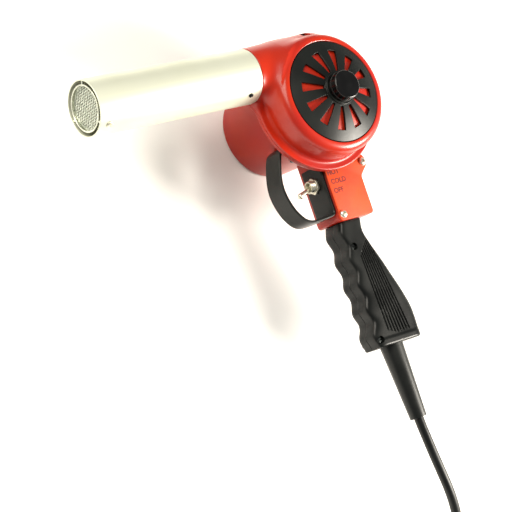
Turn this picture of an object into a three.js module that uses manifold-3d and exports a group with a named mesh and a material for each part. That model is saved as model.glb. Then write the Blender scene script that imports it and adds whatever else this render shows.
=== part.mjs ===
// Industrial heat gun with a die-cast body, standing on the flat end of its motor housing.
// Millimetres, +Z up. The origin is the centre of the flat base. +Z runs along the motor and the
// air intake, the barrel points along -X and the handle along -Y.
import * as THREE from 'three';
import { mergeVertices } from 'three/addons/utils/BufferGeometryUtils.js';
import Module from 'manifold-3d';

const wasm = await Module();
wasm.setup();

// Driving dimensions.
const GAP = 0.3;                 // clearance kept between touching pieces
const JOINT_Z = 88;              // plane where the two castings meet
const BASE_RADIUS = 45.7;        // motor housing at the base
const CAN_RADIUS = 50.3;         // motor housing under its flange
const CAN_WALL = 3.1;
const FLANGE_RADIUS = 65.5;
const DRUM_RADIUS = 57.5;        // fan housing
const DRUM_TOP = 121.7;          // rim of the air intake
const SHOULDER_RADIUS = 8.2;
const SHUTTER_RADIUS = 48.3;
const SHUTTER_DOME = 10;         // rise of the shutter from rim to centre
const HUB_RADIUS = 16.2;         // the inlet is flat inside this radius
const DOME_RADII = [44, 30, HUB_RADIUS];
const SHUTTER_THICKNESS = 2.6;
const INLET_THICKNESS = 3.2;
const INLET_GAP = 0.4;           // between the shutter and the inlet under it
const SLOT_COUNT = 12;
const SLOT_PHASE = THREE.MathUtils.degToRad(16);
const SLOT_INNER = 17;
const SLOT_OUTER = 38.4;
const SHUTTER_TRAVEL = Math.PI / SLOT_COUNT;
const KNOB_RADIUS = 14;
const KNOB_TOP = 143;
const STUD_RADIUS = 2.5;

const BARREL_RADIUS = 25.4;      // two-inch barrel
const BARREL_WALL = 1.2;
const BARREL_MOUTH = -244.4;
const BARREL_BACK = -67.8;
const BARREL_Y = 36.2;
const BARREL_Z = 90.7;
const SPIGOT_LENGTH = 17;
const NECK_BORE = 21.4;

const SHAFT_RADIUS = 4;
const SHAFT_BORE = 4.3;
const STATOR_BOTTOM = 28;
const STATOR_TOP = 64;
const BRACKET_Z = 80;

const BOX = { x0: -8, x1: 32.4, y0: -112.3, z0: 42.7, z1: 81 };
const BOX_WALL = 3;
const COVER_THICKNESS = 2;
const TOGGLE = { x: -16, y: -73, z: 65.5 };
const TOGGLE_TILT = THREE.MathUtils.degToRad(20);
const STRAP = { z0: 55.5, z1: 78.5, thickness: 2.6 };

const HANDLE_Z = 62;             // plane where the two grip halves meet
const HANDLE_DEPTH = 28;
const HANDLE_TOP = -112.6;
const HANDLE_END = -234.6;
const GROOVE_PITCH = 24.6;
const GROOVE_DEPTH = 1.7;

const CORD_RADIUS = 4.75;
const RELIEF = { x: 15.4, start: -231, length: 75.5, big: 11.4, small: 8.1, lean: 0.04 };
const COIL = { x: 110.7, y: -556, radius: 53, halfWidth: 14.45, height: 19.4 };
const PLUG = { x: 168.7, y: -506.6, halfWidth: 14.5, length: 38, height: 27 };

// Finishes.
const finish = (color, roughness, metalness) =>
  new THREE.MeshStandardMaterial({ color, roughness, metalness });
const redEnamel = finish('#b8122a', 0.3, 0.1);
const redWrinkle = finish('#d8502a', 0.6, 0.1);
const satinSteel = finish('#c9cbbf', 0.4, 0.9);
const brightSteel = finish('#d5d6d0', 0.25, 1);
const darkSteel = finish('#5d6061', 0.45, 0.9);
const blackPaint = finish('#1c2420', 0.45, 0.2);
const blackPlastic = finish('#161a18', 0.5, 0);
const blackRubber = finish('#1a1d1c', 0.7, 0);
const aluminium = finish('#b9bcbe', 0.5, 0.8);
const copper = finish('#b3683a', 0.35, 0.9);
const ceramic = finish('#e4ded0', 0.8, 0);
const mica = finish('#b9a98c', 0.6, 0);
const brass = finish('#c9a75a', 0.3, 0.9);
const carbon = finish('#2a2a2c', 0.7, 0.1);

const root = new THREE.Group();

// A closed geometry as a solid, with its shared corners merged and its empty faces dropped.
function solidOf(geometry) {
  const bare = geometry.clone();
  bare.deleteAttribute('normal');
  bare.deleteAttribute('uv');
  const merged = mergeVertices(bare, 1e-4);
  const index = merged.index.array;
  const kept = [];
  for (let i = 0; i < index.length; i += 3) {
    const [a, b, c] = [index[i], index[i + 1], index[i + 2]];
    if (a !== b && b !== c && c !== a) kept.push(a, b, c);
  }
  return new wasm.Manifold(new wasm.Mesh({
    numProp: 3,
    vertProperties: merged.attributes.position.array,
    triVerts: new Uint32Array(kept),
  }));
}

// A solid as a named mesh of the scene.
function addPiece(name, material, solid) {
  const { vertProperties, triVerts } = solid.getMesh();
  const geometry = new THREE.BufferGeometry();
  geometry.setAttribute('position', new THREE.BufferAttribute(vertProperties, 3));
  geometry.setIndex(new THREE.BufferAttribute(triVerts, 1));
  geometry.computeVertexNormals();
  const mesh = new THREE.Mesh(geometry, material);
  mesh.name = name;
  root.add(mesh);
  return mesh;
}

// A profile of [radius, height] pairs, anticlockwise, turned about Z.
function turned(profile, segments = 30) {
  const points = profile.map(([r, z]) => new THREE.Vector2(r, z));
  return solidOf(new THREE.LatheGeometry(points, segments).rotateX(Math.PI / 2));
}

// The same, turned about an axis through [x, y, z] that points along -X.
function turnedAlongBarrel(profile, segments = 24, y = BARREL_Y, z = BARREL_Z) {
  const points = profile.map(([r, h]) => new THREE.Vector2(r, h));
  const geometry = new THREE.LatheGeometry(points, segments);
  return solidOf(geometry.rotateX(Math.PI / 2).rotateY(-Math.PI / 2).translate(0, y, z));
}

// A round bar of one radius about Z, closed at both ends.
const disc = (radius, z0, z1) => [[0, z0], [radius, z0], [radius, z1], [0, z1]];

// A tube's profile about Z.
const sleeve = (inner, outer, z0, z1) =>
  [[inner, z0], [outer, z0], [outer, z1], [inner, z1], [inner, z0]];

// Points of an arc from angle a to angle b, in degrees.
function arc(cx, cy, radius, a, b, steps) {
  return Array.from({ length: steps + 1 }, (_, i) => {
    const angle = THREE.MathUtils.degToRad(a + (b - a) * i / steps);
    return [cx + radius * Math.cos(angle), cy + radius * Math.sin(angle)];
  });
}

function block(x0, x1, y0, y1, z0, z1) {
  const geometry = new THREE.BoxGeometry(x1 - x0, y1 - y0, z1 - z0);
  return solidOf(geometry.translate((x0 + x1) / 2, (y0 + y1) / 2, (z0 + z1) / 2));
}

// An outline in the XY plane, extruded from z0 to z1.
function plate(outline, z0, z1) {
  const shape = new THREE.Shape(outline.map(([x, y]) => new THREE.Vector2(x, y)));
  const geometry = new THREE.ExtrudeGeometry(shape, { depth: z1 - z0, bevelEnabled: false });
  return solidOf(geometry.translate(0, 0, z0));
}

// A round bar between two points.
function rod(from, to, radius, segments = 10, endRadius = radius) {
  const start = new THREE.Vector3(...from);
  const run = new THREE.Vector3(...to).sub(start);
  const geometry = new THREE.CylinderGeometry(endRadius, radius, run.length(), segments);
  geometry.translate(0, run.length() / 2, 0);
  const up = new THREE.Vector3(0, 1, 0);
  geometry.applyQuaternion(new THREE.Quaternion().setFromUnitVectors(up, run.normalize()));
  return solidOf(geometry.translate(...from));
}

const joined = (solids) => solids.reduce((sum, solid) => sum.add(solid));
const onCircle = (radius, angle, z) => [radius * Math.cos(angle), radius * Math.sin(angle), z];

// A point on the barrel's surface, at an angle in degrees from +Y towards +Z.
function onBarrel(x, radius, degrees) {
  const angle = THREE.MathUtils.degToRad(degrees);
  return [x, BARREL_Y + radius * Math.cos(angle), BARREL_Z + radius * Math.sin(angle)];
}

// The neck that carries the barrel: a cone that swells into the drum, and a spigot for the barrel.
function neck() {
  const swell = rod([BARREL_BACK, BARREL_Y, BARREL_Z], [8, BARREL_Y + 0.8, BARREL_Z], 25.6, 24, 28.4);
  const spigot = turnedAlongBarrel(disc(23.9, -BARREL_BACK - 1, -BARREL_BACK + SPIGOT_LENGTH));
  return swell.add(spigot);
}

function neckBore(innerEnd) {
  return turnedAlongBarrel(disc(NECK_BORE, innerEnd, -BARREL_BACK + SPIGOT_LENGTH + 1));
}

// The can and the swell under its flange, grown by the clearance.
function canEnvelope() {
  return turned([
    [0, 30], [48.4, 30], [CAN_RADIUS + GAP, 79], [CAN_RADIUS + 4.4, 84], [0, 84],
  ], 64);
}

const halfSpace = (z0, z1) => block(-400, 400, -700, 400, z0, z1);

// Screw places: one in a counterbore at the top of the neck, two behind the flange.
const TOP_SCREW = [3, 59.6];
const TOP_SCREW_SEAT = 98;
const REAR_SCREW_ANGLES = [10, 228];
const rearScrewPlace = (degrees) => onCircle(61.4, THREE.MathUtils.degToRad(degrees), 0);
const BARREL_SCREW_ANGLE = 145;
const BARREL_SCREW_X = [-234, -80];

const STATOR_SCREW_RADIUS = 37.4;
const STATOR_SCREW_ANGLES = [90, 270];
const statorScrewPlace = (degrees) =>
  onCircle(STATOR_SCREW_RADIUS, THREE.MathUtils.degToRad(degrees), 0);

// Die-cast can that holds the motor, with the base, the flange and the lower half of the neck.
function motorHousing() {
  const outside = [
    [0, 0], [BASE_RADIUS - 2.5, 0], [BASE_RADIUS, 2.5],
    [CAN_RADIUS - 0.2, 80], [CAN_RADIUS + 1.2, 83], [CAN_RADIUS + 4, 84.1],
    [FLANGE_RADIUS - 0.8, 84.1], [FLANGE_RADIUS, 85], [FLANGE_RADIUS, JOINT_Z - GAP / 2],
    [0, JOINT_Z - GAP / 2],
  ];
  const chamber = [
    [0, 4.5], [9.8, 4.5], [9.8, 11.5], [13, 11.5], [13, 4.5], [41.5, 4.5], [45.2, BRACKET_Z],
    [CAN_RADIUS - CAN_WALL, BRACKET_Z], [CAN_RADIUS - CAN_WALL, 90], [0, 90],
  ];
  const lowerNeck = neck().intersect(halfSpace(0, JOINT_Z - GAP / 2));
  const scoop = solidOf(new THREE.SphereGeometry(NECK_BORE, 12, 6).translate(-56, BARREL_Y, BARREL_Z));
  const channel = neckBore(56).add(scoop);
  const posts = STATOR_SCREW_ANGLES.map((degrees) => {
    const [x, y] = statorScrewPlace(degrees);
    return rod([x, y, 4], [x, y, 26], 4.6).subtract(rod([x, y, 10], [x, y, 27], 2.3));
  });
  let can = turned(outside).add(lowerNeck).subtract(turned(chamber)).subtract(channel);
  can = can.add(joined(posts));
  for (const degrees of REAR_SCREW_ANGLES) {
    const [x, y] = rearScrewPlace(degrees);
    can = can.subtract(rod([x, y, 80], [x, y, 92], 2.3));
  }
  const [sx, sy] = TOP_SCREW;
  can = can.subtract(rod([sx, sy, 78], [sx, sy, 92], 2.3));
  return can.subtract(block(2, 22, -60, -40, 50, 70));
}

const domeAt = (radius) => SHUTTER_DOME * (1 - (radius / SHUTTER_RADIUS) ** 2);
const inletTop = (radius) =>
  DRUM_TOP - SHUTTER_THICKNESS - INLET_GAP + domeAt(Math.max(radius, HUB_RADIUS));

// Slots shared by the shutter and the inlet, turned by an angle.
function slots(turn) {
  const outline = [[SLOT_INNER, -1.4], [SLOT_OUTER, -4.5], [SLOT_OUTER, 4.5], [SLOT_INNER, 1.4]];
  const shape = new THREE.Shape(outline.map(([x, y]) => new THREE.Vector2(x, y)));
  return joined(Array.from({ length: SLOT_COUNT }, (_, i) => {
    const geometry = new THREE.ExtrudeGeometry(shape, { depth: 30, bevelEnabled: false });
    geometry.translate(0, 0, 108).rotateZ(SLOT_PHASE + turn + i * 2 * Math.PI / SLOT_COUNT);
    return solidOf(geometry);
  }));
}

// Die-cast fan housing: flange, drum, slotted inlet and the upper half of the neck.
function fanHousing() {
  const recess = SHUTTER_RADIUS + 0.6;
  const radii = [...DOME_RADII, 0];
  const outside = [
    [0, JOINT_Z + GAP / 2], [FLANGE_RADIUS, JOINT_Z + GAP / 2], [FLANGE_RADIUS, 90.2],
    [FLANGE_RADIUS - 0.8, 91], [DRUM_RADIUS + 2, 91], [DRUM_RADIUS, 94],
    ...arc(DRUM_RADIUS - SHOULDER_RADIUS, DRUM_TOP - SHOULDER_RADIUS, SHOULDER_RADIUS, 0, 90, 3),
    [recess, DRUM_TOP], [recess, inletTop(recess)], ...radii.map((r) => [r, inletTop(r)]),
  ];
  const chamber = [
    [0, JOINT_Z - 2], [54.3, JOINT_Z - 2], [54.3, 112], [50, 115.4],
    ...radii.map((r) => [r, inletTop(r) - INLET_THICKNESS]),
  ];
  const [sx, sy] = TOP_SCREW;
  const upper = halfSpace(JOINT_Z + GAP / 2, 200);
  let shell = turned(outside).add(neck().intersect(upper)).subtract(turned(chamber));
  shell = shell.subtract(neckBore(12));
  shell = shell.subtract(slots(SHUTTER_TRAVEL));
  shell = shell.subtract(rod([0, 0, 110], [0, 0, KNOB_TOP], STUD_RADIUS + GAP));
  shell = shell.subtract(rod([sx, sy, TOP_SCREW_SEAT], [sx, sy, 125], 4.3, 20));
  shell = shell.subtract(rod([sx, sy, 80], [sx, sy, TOP_SCREW_SEAT + 1], 2.3));
  const rear = BARREL_SCREW_X[1];
  const near = onBarrel(rear, 12, BARREL_SCREW_ANGLE);
  const far = onBarrel(rear, 40, BARREL_SCREW_ANGLE);
  shell = shell.subtract(rod(near, far, 1.8));
  for (const degrees of REAR_SCREW_ANGLES) {
    const [x, y] = rearScrewPlace(degrees);
    shell = shell.subtract(rod([x, y, 80], [x, y, 90.3], 2.3));
  }
  return shell;
}

// A machine screw along Z with a round head. The head's face is at headZ and the tip at tipZ.
function screwAlongZ(x, y, headZ, tipZ, radius, headRadius, headHeight) {
  const way = Math.sign(headZ - tipZ);
  const seat = headZ - way * headHeight;
  const head = rod([x, y, seat], [x, y, headZ], headRadius, 12, headRadius * 0.82);
  const slotDepth = headZ - way * headHeight * 0.45;
  const slot = block(x - headRadius, x + headRadius, y - 0.5, y + 0.5,
    Math.min(slotDepth, headZ + way), Math.max(slotDepth, headZ + way));
  return head.add(rod([x, y, seat + way * 0.2], [x, y, tipZ], radius, 8)).subtract(slot);
}

function housingScrews() {
  const [sx, sy] = TOP_SCREW;
  addPiece('housing_screw_1', darkSteel, screwAlongZ(sx, sy, TOP_SCREW_SEAT + 3.4, 80, 2, 3.8, 3.1));
  REAR_SCREW_ANGLES.forEach((degrees, i) => {
    const [x, y] = rearScrewPlace(degrees);
    addPiece(`housing_screw_${i + 2}`, darkSteel, screwAlongZ(x, y, 81, 89.9, 2, 3.8, 2.8));
  });
}

// Turned shutter disc with its slots, and the knob that turns it.
function intakeShutter() {
  const top = DOME_RADII.map((r) => [r, DRUM_TOP + domeAt(r)]);
  const bottom = [...DOME_RADII].reverse().map((r) => [r, DRUM_TOP - SHUTTER_THICKNESS + domeAt(r)]);
  const bore = STUD_RADIUS + GAP;
  const hubTop = DRUM_TOP + SHUTTER_DOME + 0.6;
  const profile = [
    [bore, DRUM_TOP - SHUTTER_THICKNESS + SHUTTER_DOME], ...bottom,
    [SHUTTER_RADIUS, DRUM_TOP - SHUTTER_THICKNESS], [SHUTTER_RADIUS, DRUM_TOP - 0.5],
    [SHUTTER_RADIUS - 0.6, DRUM_TOP], ...top, [15.6, hubTop], [bore, hubTop],
    [bore, DRUM_TOP - SHUTTER_THICKNESS + SHUTTER_DOME],
  ];
  addPiece('intake_shutter', blackPaint, turned(profile).subtract(slots(0)));

  const foot = hubTop + GAP;
  const knob = [
    [0, KNOB_TOP - 4], [bore, KNOB_TOP - 4], [bore, foot], [KNOB_RADIUS, foot],
    [KNOB_RADIUS, foot + 3], [KNOB_RADIUS - 0.5, KNOB_TOP - 2],
    ...arc(KNOB_RADIUS - 2.5, KNOB_TOP - 2, 2, 30, 90, 2), [0, KNOB_TOP],
  ];
  addPiece('shutter_knob', blackPlastic, turned(knob, 20));
  const studSeat = inletTop(0) - INLET_THICKNESS - GAP;
  const stud = [
    [0, studSeat - 4], [5.5, studSeat - 4], [5.5, studSeat], [STUD_RADIUS, studSeat],
    [STUD_RADIUS, KNOB_TOP - 5], [0, KNOB_TOP - 5],
  ];
  addPiece('shutter_stud', brightSteel, turned(stud, 12));
}

// Barrel with its screws, the nozzle ring in its mouth and the wire screen.
function barrelGroup() {
  const inner = BARREL_RADIUS - BARREL_WALL;
  const mouth = -BARREL_MOUTH;
  const tube = [
    [inner, -BARREL_BACK + GAP], [BARREL_RADIUS, -BARREL_BACK + GAP],
    [BARREL_RADIUS, mouth], [inner, mouth],
    [inner, -BARREL_BACK + GAP],
  ];
  let barrel = turnedAlongBarrel(tube, 32);
  BARREL_SCREW_X.forEach((x, i) => {
    const hole = rod(onBarrel(x, 12, BARREL_SCREW_ANGLE), onBarrel(x, 30, BARREL_SCREW_ANGLE), 1.8);
    barrel = barrel.subtract(hole);
    const seat = onBarrel(x, BARREL_RADIUS + GAP, BARREL_SCREW_ANGLE);
    const head = rod(seat, onBarrel(x, BARREL_RADIUS + 1.5, BARREL_SCREW_ANGLE), 2.9, 12, 2.2);
    const tip = onBarrel(x, inner - 1.4, BARREL_SCREW_ANGLE);
    const screw = head.add(rod(tip, onBarrel(x, BARREL_RADIUS + 0.8, BARREL_SCREW_ANGLE), 1.4, 8));
    addPiece(['barrel_screw_front', 'barrel_screw_rear'][i], brightSteel, screw);
  });
  addPiece('barrel', satinSteel, barrel);

  const ring = [
    [18.9, mouth - 13], [20.6, mouth - 13], [20.6, mouth - 3.4], [21.7, mouth - 2.6],
    [21.7, mouth - 0.6], [18.2, mouth - 0.6], [18.2, mouth - 2.4], [18.9, mouth - 3],
    [18.9, mouth - 13],
  ];
  const tabs = [20, 140, 260].map((degrees) =>
    rod(onBarrel(BARREL_MOUTH + 2, 20.3, degrees), onBarrel(BARREL_MOUTH + 2, 23.9, degrees), 1.3, 8));
  addPiece('nozzle_ring', darkSteel, turnedAlongBarrel(ring).add(joined(tabs)));

  let screen = turnedAlongBarrel(disc(18.5, mouth - 4.4, mouth - 3.7));
  const step = 8.6;
  for (let row = -1; row <= 1; row += 1) {
    for (let column = -1; column <= 1; column += 1) {
      const y = BARREL_Y + row * step;
      const z = BARREL_Z + column * step;
      const hole = block(BARREL_MOUTH + 1, BARREL_MOUTH + 8, y - 3.4, y + 3.4, z - 3.4, z + 3.4);
      screen = screen.subtract(hole);
    }
  }
  addPiece('nozzle_screen', satinSteel, screen);
}

// Electric element: a finned ceramic former, its wound coil, a mica sleeve and the ceramic base.
function heatingElement() {
  const from = 92;
  const to = 222;
  const core = joined(Array.from({ length: 3 }, (_, i) => {
    const geometry = new THREE.BoxGeometry(to - from, 32, 4).rotateX(i * Math.PI / 3);
    return solidOf(geometry.translate(-(from + to) / 2, BARREL_Y, BARREL_Z));
  }));
  addPiece('element_core', ceramic, core);

  const turns = 7;
  const steps = turns * 10;
  const helix = Array.from({ length: steps + 1 }, (_, i) => {
    const angle = 2 * Math.PI * turns * i / steps;
    const x = -(from + 5) - (to - from - 10) * i / steps;
    return new THREE.Vector3(x, BARREL_Y + 18.6 * Math.cos(angle), BARREL_Z + 18.6 * Math.sin(angle));
  });
  const section = new THREE.Shape(arc(0, 0, 1.3, 0, 270, 3).map(([x, y]) => new THREE.Vector2(x, y)));
  const path = new THREE.CatmullRomCurve3(helix);
  const wire = new THREE.ExtrudeGeometry(section, { steps, extrudePath: path, bevelEnabled: false });
  addPiece('heating_coil', darkSteel, solidOf(wire));

  const spigotEnd = -BARREL_BACK + SPIGOT_LENGTH;
  addPiece('insulation_sleeve', mica, turnedAlongBarrel(sleeve(21.4, 22.6, spigotEnd + GAP, to + 6)));
  const base = turnedAlongBarrel(disc(20.9, 84.5, 90));
  const vents = [30, 120, 210, 300].map((degrees) =>
    rod(onBarrel(-80, 13, degrees), onBarrel(-95, 13, degrees), 4.5, 8));
  addPiece('element_base', ceramic, base.subtract(joined(vents)));
}

// Rotor: shaft, armature, commutator and the fan on its end.
function rotorGroup() {
  addPiece('motor_shaft', brightSteel, turned(disc(SHAFT_RADIUS, 6, 107), 16));
  const bars = Array.from({ length: 12 }, (_, i) => {
    const geometry = new THREE.BoxGeometry(5, 1.6, 60).translate(21.5, 0, 46);
    return solidOf(geometry.rotateZ(i * Math.PI / 6));
  });
  const core = turned(sleeve(SHAFT_BORE, 21.8, STATOR_BOTTOM, STATOR_TOP), 24);
  addPiece('armature_core', darkSteel, core.subtract(joined(bars)));
  const endTurns = (z0, z1) => [
    [SHAFT_BORE, z0], [15, z0], [18.5, (z0 + z1) / 2], [15, z1], [SHAFT_BORE, z1], [SHAFT_BORE, z0],
  ];
  addPiece('winding_front', copper, turned(endTurns(STATOR_TOP + GAP, 71.5), 16));
  addPiece('winding_rear', copper, turned(endTurns(22, STATOR_BOTTOM - GAP), 16));
  addPiece('commutator', copper, turned(sleeve(SHAFT_BORE, 11.5, 12.3, 20.7), 16));

  const blades = Array.from({ length: 12 }, (_, i) => {
    const geometry = new THREE.BoxGeometry(20, 1.4, 19).rotateZ(-0.5).translate(31.5, 0, 99.9);
    return solidOf(geometry.rotateZ(i * Math.PI / 6));
  });
  const hub = turned(sleeve(SHAFT_BORE, 8, 89.5, 101), 16);
  const backPlate = turned(sleeve(SHAFT_BORE, 42, 89.5, 91), 24);
  const frontRing = turned(sleeve(24, 42, 108.5, 109.7), 24);
  addPiece('fan_wheel', aluminium, joined([hub, backPlate, frontRing, ...blades]));
  const nut = sleeve(4.8, 7, 101.3, 105);
  addPiece('fan_nut', brightSteel, turned(nut, 6));
}

// Fixed parts of the motor: stator, field coils, bearings, brushes and the front bracket.
function motorFixed() {
  const poleHalf = 11.9;
  const shoes = turned(sleeve(22.8, 25.2, STATOR_BOTTOM, STATOR_TOP), 28);
  let stator = turned(sleeve(33, 42, STATOR_BOTTOM, STATOR_TOP))
    .add(shoes.subtract(block(-12, 12, -30, 30, 0, 100)));
  for (const side of [-1, 1]) {
    const x0 = Math.min(side * 24, side * 34);
    stator = stator.add(block(x0, x0 + 10, -poleHalf, poleHalf, STATOR_BOTTOM, STATOR_TOP));
  }
  for (const degrees of STATOR_SCREW_ANGLES) {
    const [x, y] = statorScrewPlace(degrees);
    stator = stator.subtract(rod([x, y, 20], [x, y, 80], 2.3));
  }
  addPiece('stator_core', darkSteel, stator);

  const pole = block(-60, 60, -poleHalf - GAP, poleHalf + GAP, STATOR_BOTTOM - GAP, STATOR_TOP + GAP);
  const saddle = turned(sleeve(25.6, 32.6, STATOR_BOTTOM - 5, STATOR_TOP + 5)).subtract(pole);
  addPiece('field_coil_1', copper, saddle.intersect(block(1, 50, -22, 22, 0, 100)));
  addPiece('field_coil_2', copper, saddle.intersect(block(-50, -1, -22, 22, 0, 100)));

  const race = (inner, outer, z0, z1) => turned(sleeve(inner, outer, z0, z1), 16);
  addPiece('rear_bearing', brightSteel, race(SHAFT_BORE, 9.5, 5, 11));
  addPiece('front_bearing', brightSteel, race(SHAFT_BORE, 10.7, 78.6, 84.6));
  const bracket = [
    [SHAFT_BORE + 1, 76], [14, 76], [14, BRACKET_Z + GAP], [46.8, BRACKET_Z + GAP],
    [46.8, BRACKET_Z + 3], [14, BRACKET_Z + 3], [14, 84.6], [11, 84.6], [11, 78.3],
    [SHAFT_BORE + 1, 78.3], [SHAFT_BORE + 1, 76],
  ];
  let frontBracket = turned(bracket);
  STATOR_SCREW_ANGLES.forEach((degrees, i) => {
    const [x, y] = statorScrewPlace(degrees);
    frontBracket = frontBracket.subtract(rod([x, y, 70], [x, y, 90], 2.3));
    addPiece(`stator_screw_${i + 1}`, brightSteel, screwAlongZ(x, y, 86.1, 12, 2, 3.8, 2.7));
  });
  addPiece('motor_bracket', aluminium, frontBracket);
}

// Carbon brushes at each side of the commutator, each in a brass holder fixed to the can.
function brushGear() {
  [1, -1].forEach((side, i) => {
    const span = (a, b) => [Math.min(side * a, side * b), Math.max(side * a, side * b)];
    const [bx0, bx1] = span(11.9, 22);
    addPiece(`brush_${i + 1}`, carbon, block(bx0, bx1, -3, 3, 13, 20));
    const [hx0, hx1] = span(14, 41);
    const [cx0, cx1] = span(12, 36);
    const holder = block(hx0, hx1, -4.5, 4.5, 11.5, 21.5).subtract(block(cx0, cx1, -3.3, 3.3, 12.7, 20.3));
    addPiece(`brush_holder_${i + 1}`, brass, holder);
  });
}

// Die-cast box for the switch, with the spigot that the grip clamps and an ear for a cover screw.
const COVER_SCREWS = [[38.1, -63.1], [-3.4, -106.6]];

function switchBox() {
  const top = -40;
  const front = BOX.z1 - COVER_THICKNESS - GAP;
  const hollow = block(BOX.x0 + BOX_WALL, BOX.x1 - BOX_WALL, BOX.y0 + BOX_WALL, top + 5,
    BOX.z0 + BOX_WALL, front + 1);
  const ear = plate([[30, -75], [34, -74], [43, -66], [43, -60], [40, -56], [30, -50]], BOX.z1 - 9, front);
  const spigot = block(-2, 18, BOX.y0 - 13, BOX.y0 + 1, HANDLE_Z - 9, HANDLE_Z + 9);
  const way = block(0.5, 15.5, BOX.y0 - 14, BOX.y0 + 5, HANDLE_Z - 6.5, HANDLE_Z + 6.5);
  const corner = rod([-3.4, -106.6, BOX.z0 + 1], [-3.4, -106.6, front], 4.2, 20);
  let box = block(BOX.x0, BOX.x1, BOX.y0, top, BOX.z0, front).subtract(hollow).add(ear);
  box = box.add(corner).add(spigot).subtract(way).subtract(canEnvelope());
  for (const [x, y] of COVER_SCREWS) box = box.subtract(rod([x, y, 70.5], [x, y, 85], 1.8));
  const bushingHole = rod([BOX.x0 - 5, TOGGLE.y, TOGGLE.z], [BOX.x0 + 5, TOGGLE.y, TOGGLE.z], 6.4, 24);
  box = box.subtract(bushingHole).intersect(block(BOX.x0, 60, -200, 0, 0, 100));
  addPiece('switch_box', redEnamel, box);
}

// Cover plate on the front of the box, tucked under the flange, with its two screws.
function switchCover() {
  const z0 = BOX.z1 - COVER_THICKNESS;
  const flat = block(BOX.x0, BOX.x1, BOX.y0, -52, z0, BOX.z1);
  const ear = plate([[30, -75], [34, -74], [43, -66], [43, -60], [40, -56], [30, -52]], z0, BOX.z1);
  const can = turned([[0, 70], [CAN_RADIUS + 1.6, 70], [CAN_RADIUS + 1.6, 90], [0, 90]], 64);
  let cover = flat.add(ear).subtract(can);
  COVER_SCREWS.forEach(([x, y], i) => {
    cover = cover.subtract(rod([x, y, 70], [x, y, 90], 2.1));
    const headZ = BOX.z1 + 2.6;
    addPiece(`cover_screw_${i + 1}`, brightSteel, screwAlongZ(x, y, headZ, 71.5, 1.5, 3.9, 2.3));
  });
  addPiece('switch_cover', redWrinkle, cover);
}

// Black switch plate, toggle switch body, threaded bushing, hexagon nut and lever.
const PLATE_X = BOX.x0 - STRAP.thickness - 2 * GAP;

function toggleSwitch() {
  const { y, z } = TOGGLE;
  const plateHole = rod([-20, y, z], [0, y, z], 6.4, 24);
  const flat = block(PLATE_X - 1.5, PLATE_X, -103.3, -56.5, 52, 79.8);
  addPiece('switch_plate', blackPaint, flat.subtract(plateHole));

  const body = block(-4.7, 15, y - 14, y + 14, z - 9, z + 9);
  addPiece('switch_body', blackPlastic, body);
  const bushing = turnedAlongBarrel([
    [0, 5], [5.9, 5], [5.9, 20], [5.2, 20.6], [4.4, 20.6], [3.8, 18], [3.8, 11], [0, 11],
  ], 16, y, z);
  addPiece('toggle_bushing', brightSteel, bushing);
  const nut = turnedAlongBarrel(sleeve(7, 8.25, 13, 15.6), 6, y, z);
  addPiece('toggle_nut', brightSteel, nut);

  const ball = solidOf(new THREE.SphereGeometry(3.1, 12, 6));
  const stem = rod([0, 0, 0], [-17.4, 0, 0], 1.6, 12, 2.4);
  const tip = solidOf(new THREE.SphereGeometry(2.4, 12, 6).translate(-17.4, 0, 0));
  const lever = addPiece('toggle_lever', brightSteel, joined([ball, stem, tip]));
  lever.position.set(TOGGLE.x, y, z);
  lever.rotation.z = TOGGLE_TILT;
}

// Steel finger guard: a strap bent round the fingers, with a foot under the switch plate.
function fingerGuard() {
  const outer = [
    [-38, -33.5], [-48.4, -37.1], [-55.1, -50.5], [-58.9, -64.4], [-58.8, -77.1],
    [-55, -90.6], [-49.8, -99.4], [-44.5, -104.6], [-38, -107.2], [-30, -107.4], [BOX.x0 - GAP, -105.9],
  ];
  const curve = new THREE.CatmullRomCurve3(outer.map(([x, y]) => new THREE.Vector3(x, y, 0)));
  const samples = 20;
  const edge = Array.from({ length: samples + 1 }, (_, i) => curve.getPoint(i / samples));
  const inside = edge.map((point, i) => {
    const tangent = curve.getTangent(i / samples);
    return [point.x - tangent.y * STRAP.thickness, point.y + tangent.x * STRAP.thickness];
  });
  const outline = [...edge.map((p) => [p.x, p.y]), ...inside.reverse()];
  const strap = plate(outline, STRAP.z0, STRAP.z1);
  const foot = block(BOX.x0 - GAP - STRAP.thickness, BOX.x0 - GAP, -104.5, -58, STRAP.z0, STRAP.z1);
  const hole = rod([-20, TOGGLE.y, TOGGLE.z], [0, TOGGLE.y, TOGGLE.z], 6.4, 24);
  addPiece('finger_guard', blackPaint, strap.add(foot).subtract(hole).subtract(canEnvelope()));
}

// Front edge and back edge of the grip at a height y, before rounding.
const gripFront = (y) => -7.4 - GROOVE_DEPTH * Math.cos(2 * Math.PI * (y + 148) / GROOVE_PITCH);
const gripBack = new THREE.CatmullRomCurve3([
  [21.8, -112.6], [19.8, -125], [23, -137], [28, -148.5], [34.2, -165], [41.4, -185],
  [47, -201.5], [49, -215], [48.8, -234.6],
].map(([x, y]) => new THREE.Vector3(x, y, 0)));

const HANDLE_SCREWS = [[-1.5, -136.9], [-2.6, -225.6]];

function gripSolid() {
  const steps = 22;
  const front = Array.from({ length: steps + 1 }, (_, i) => {
    const y = HANDLE_TOP + (HANDLE_END - HANDLE_TOP) * i / steps;
    return new THREE.Vector2(gripFront(y), y);
  });
  const back = gripBack.getPoints(9).reverse().map((p) => new THREE.Vector2(p.x, p.y));
  const round = 6;
  const geometry = new THREE.ExtrudeGeometry(new THREE.Shape([...front, ...back]), {
    depth: HANDLE_DEPTH - 2 * round,
    bevelEnabled: true,
    bevelThickness: round,
    bevelSize: 5,
    bevelOffset: -5,
    bevelSegments: 2,
  });
  return solidOf(geometry.translate(0, 0, HANDLE_Z - HANDLE_DEPTH / 2 + round));
}

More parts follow.
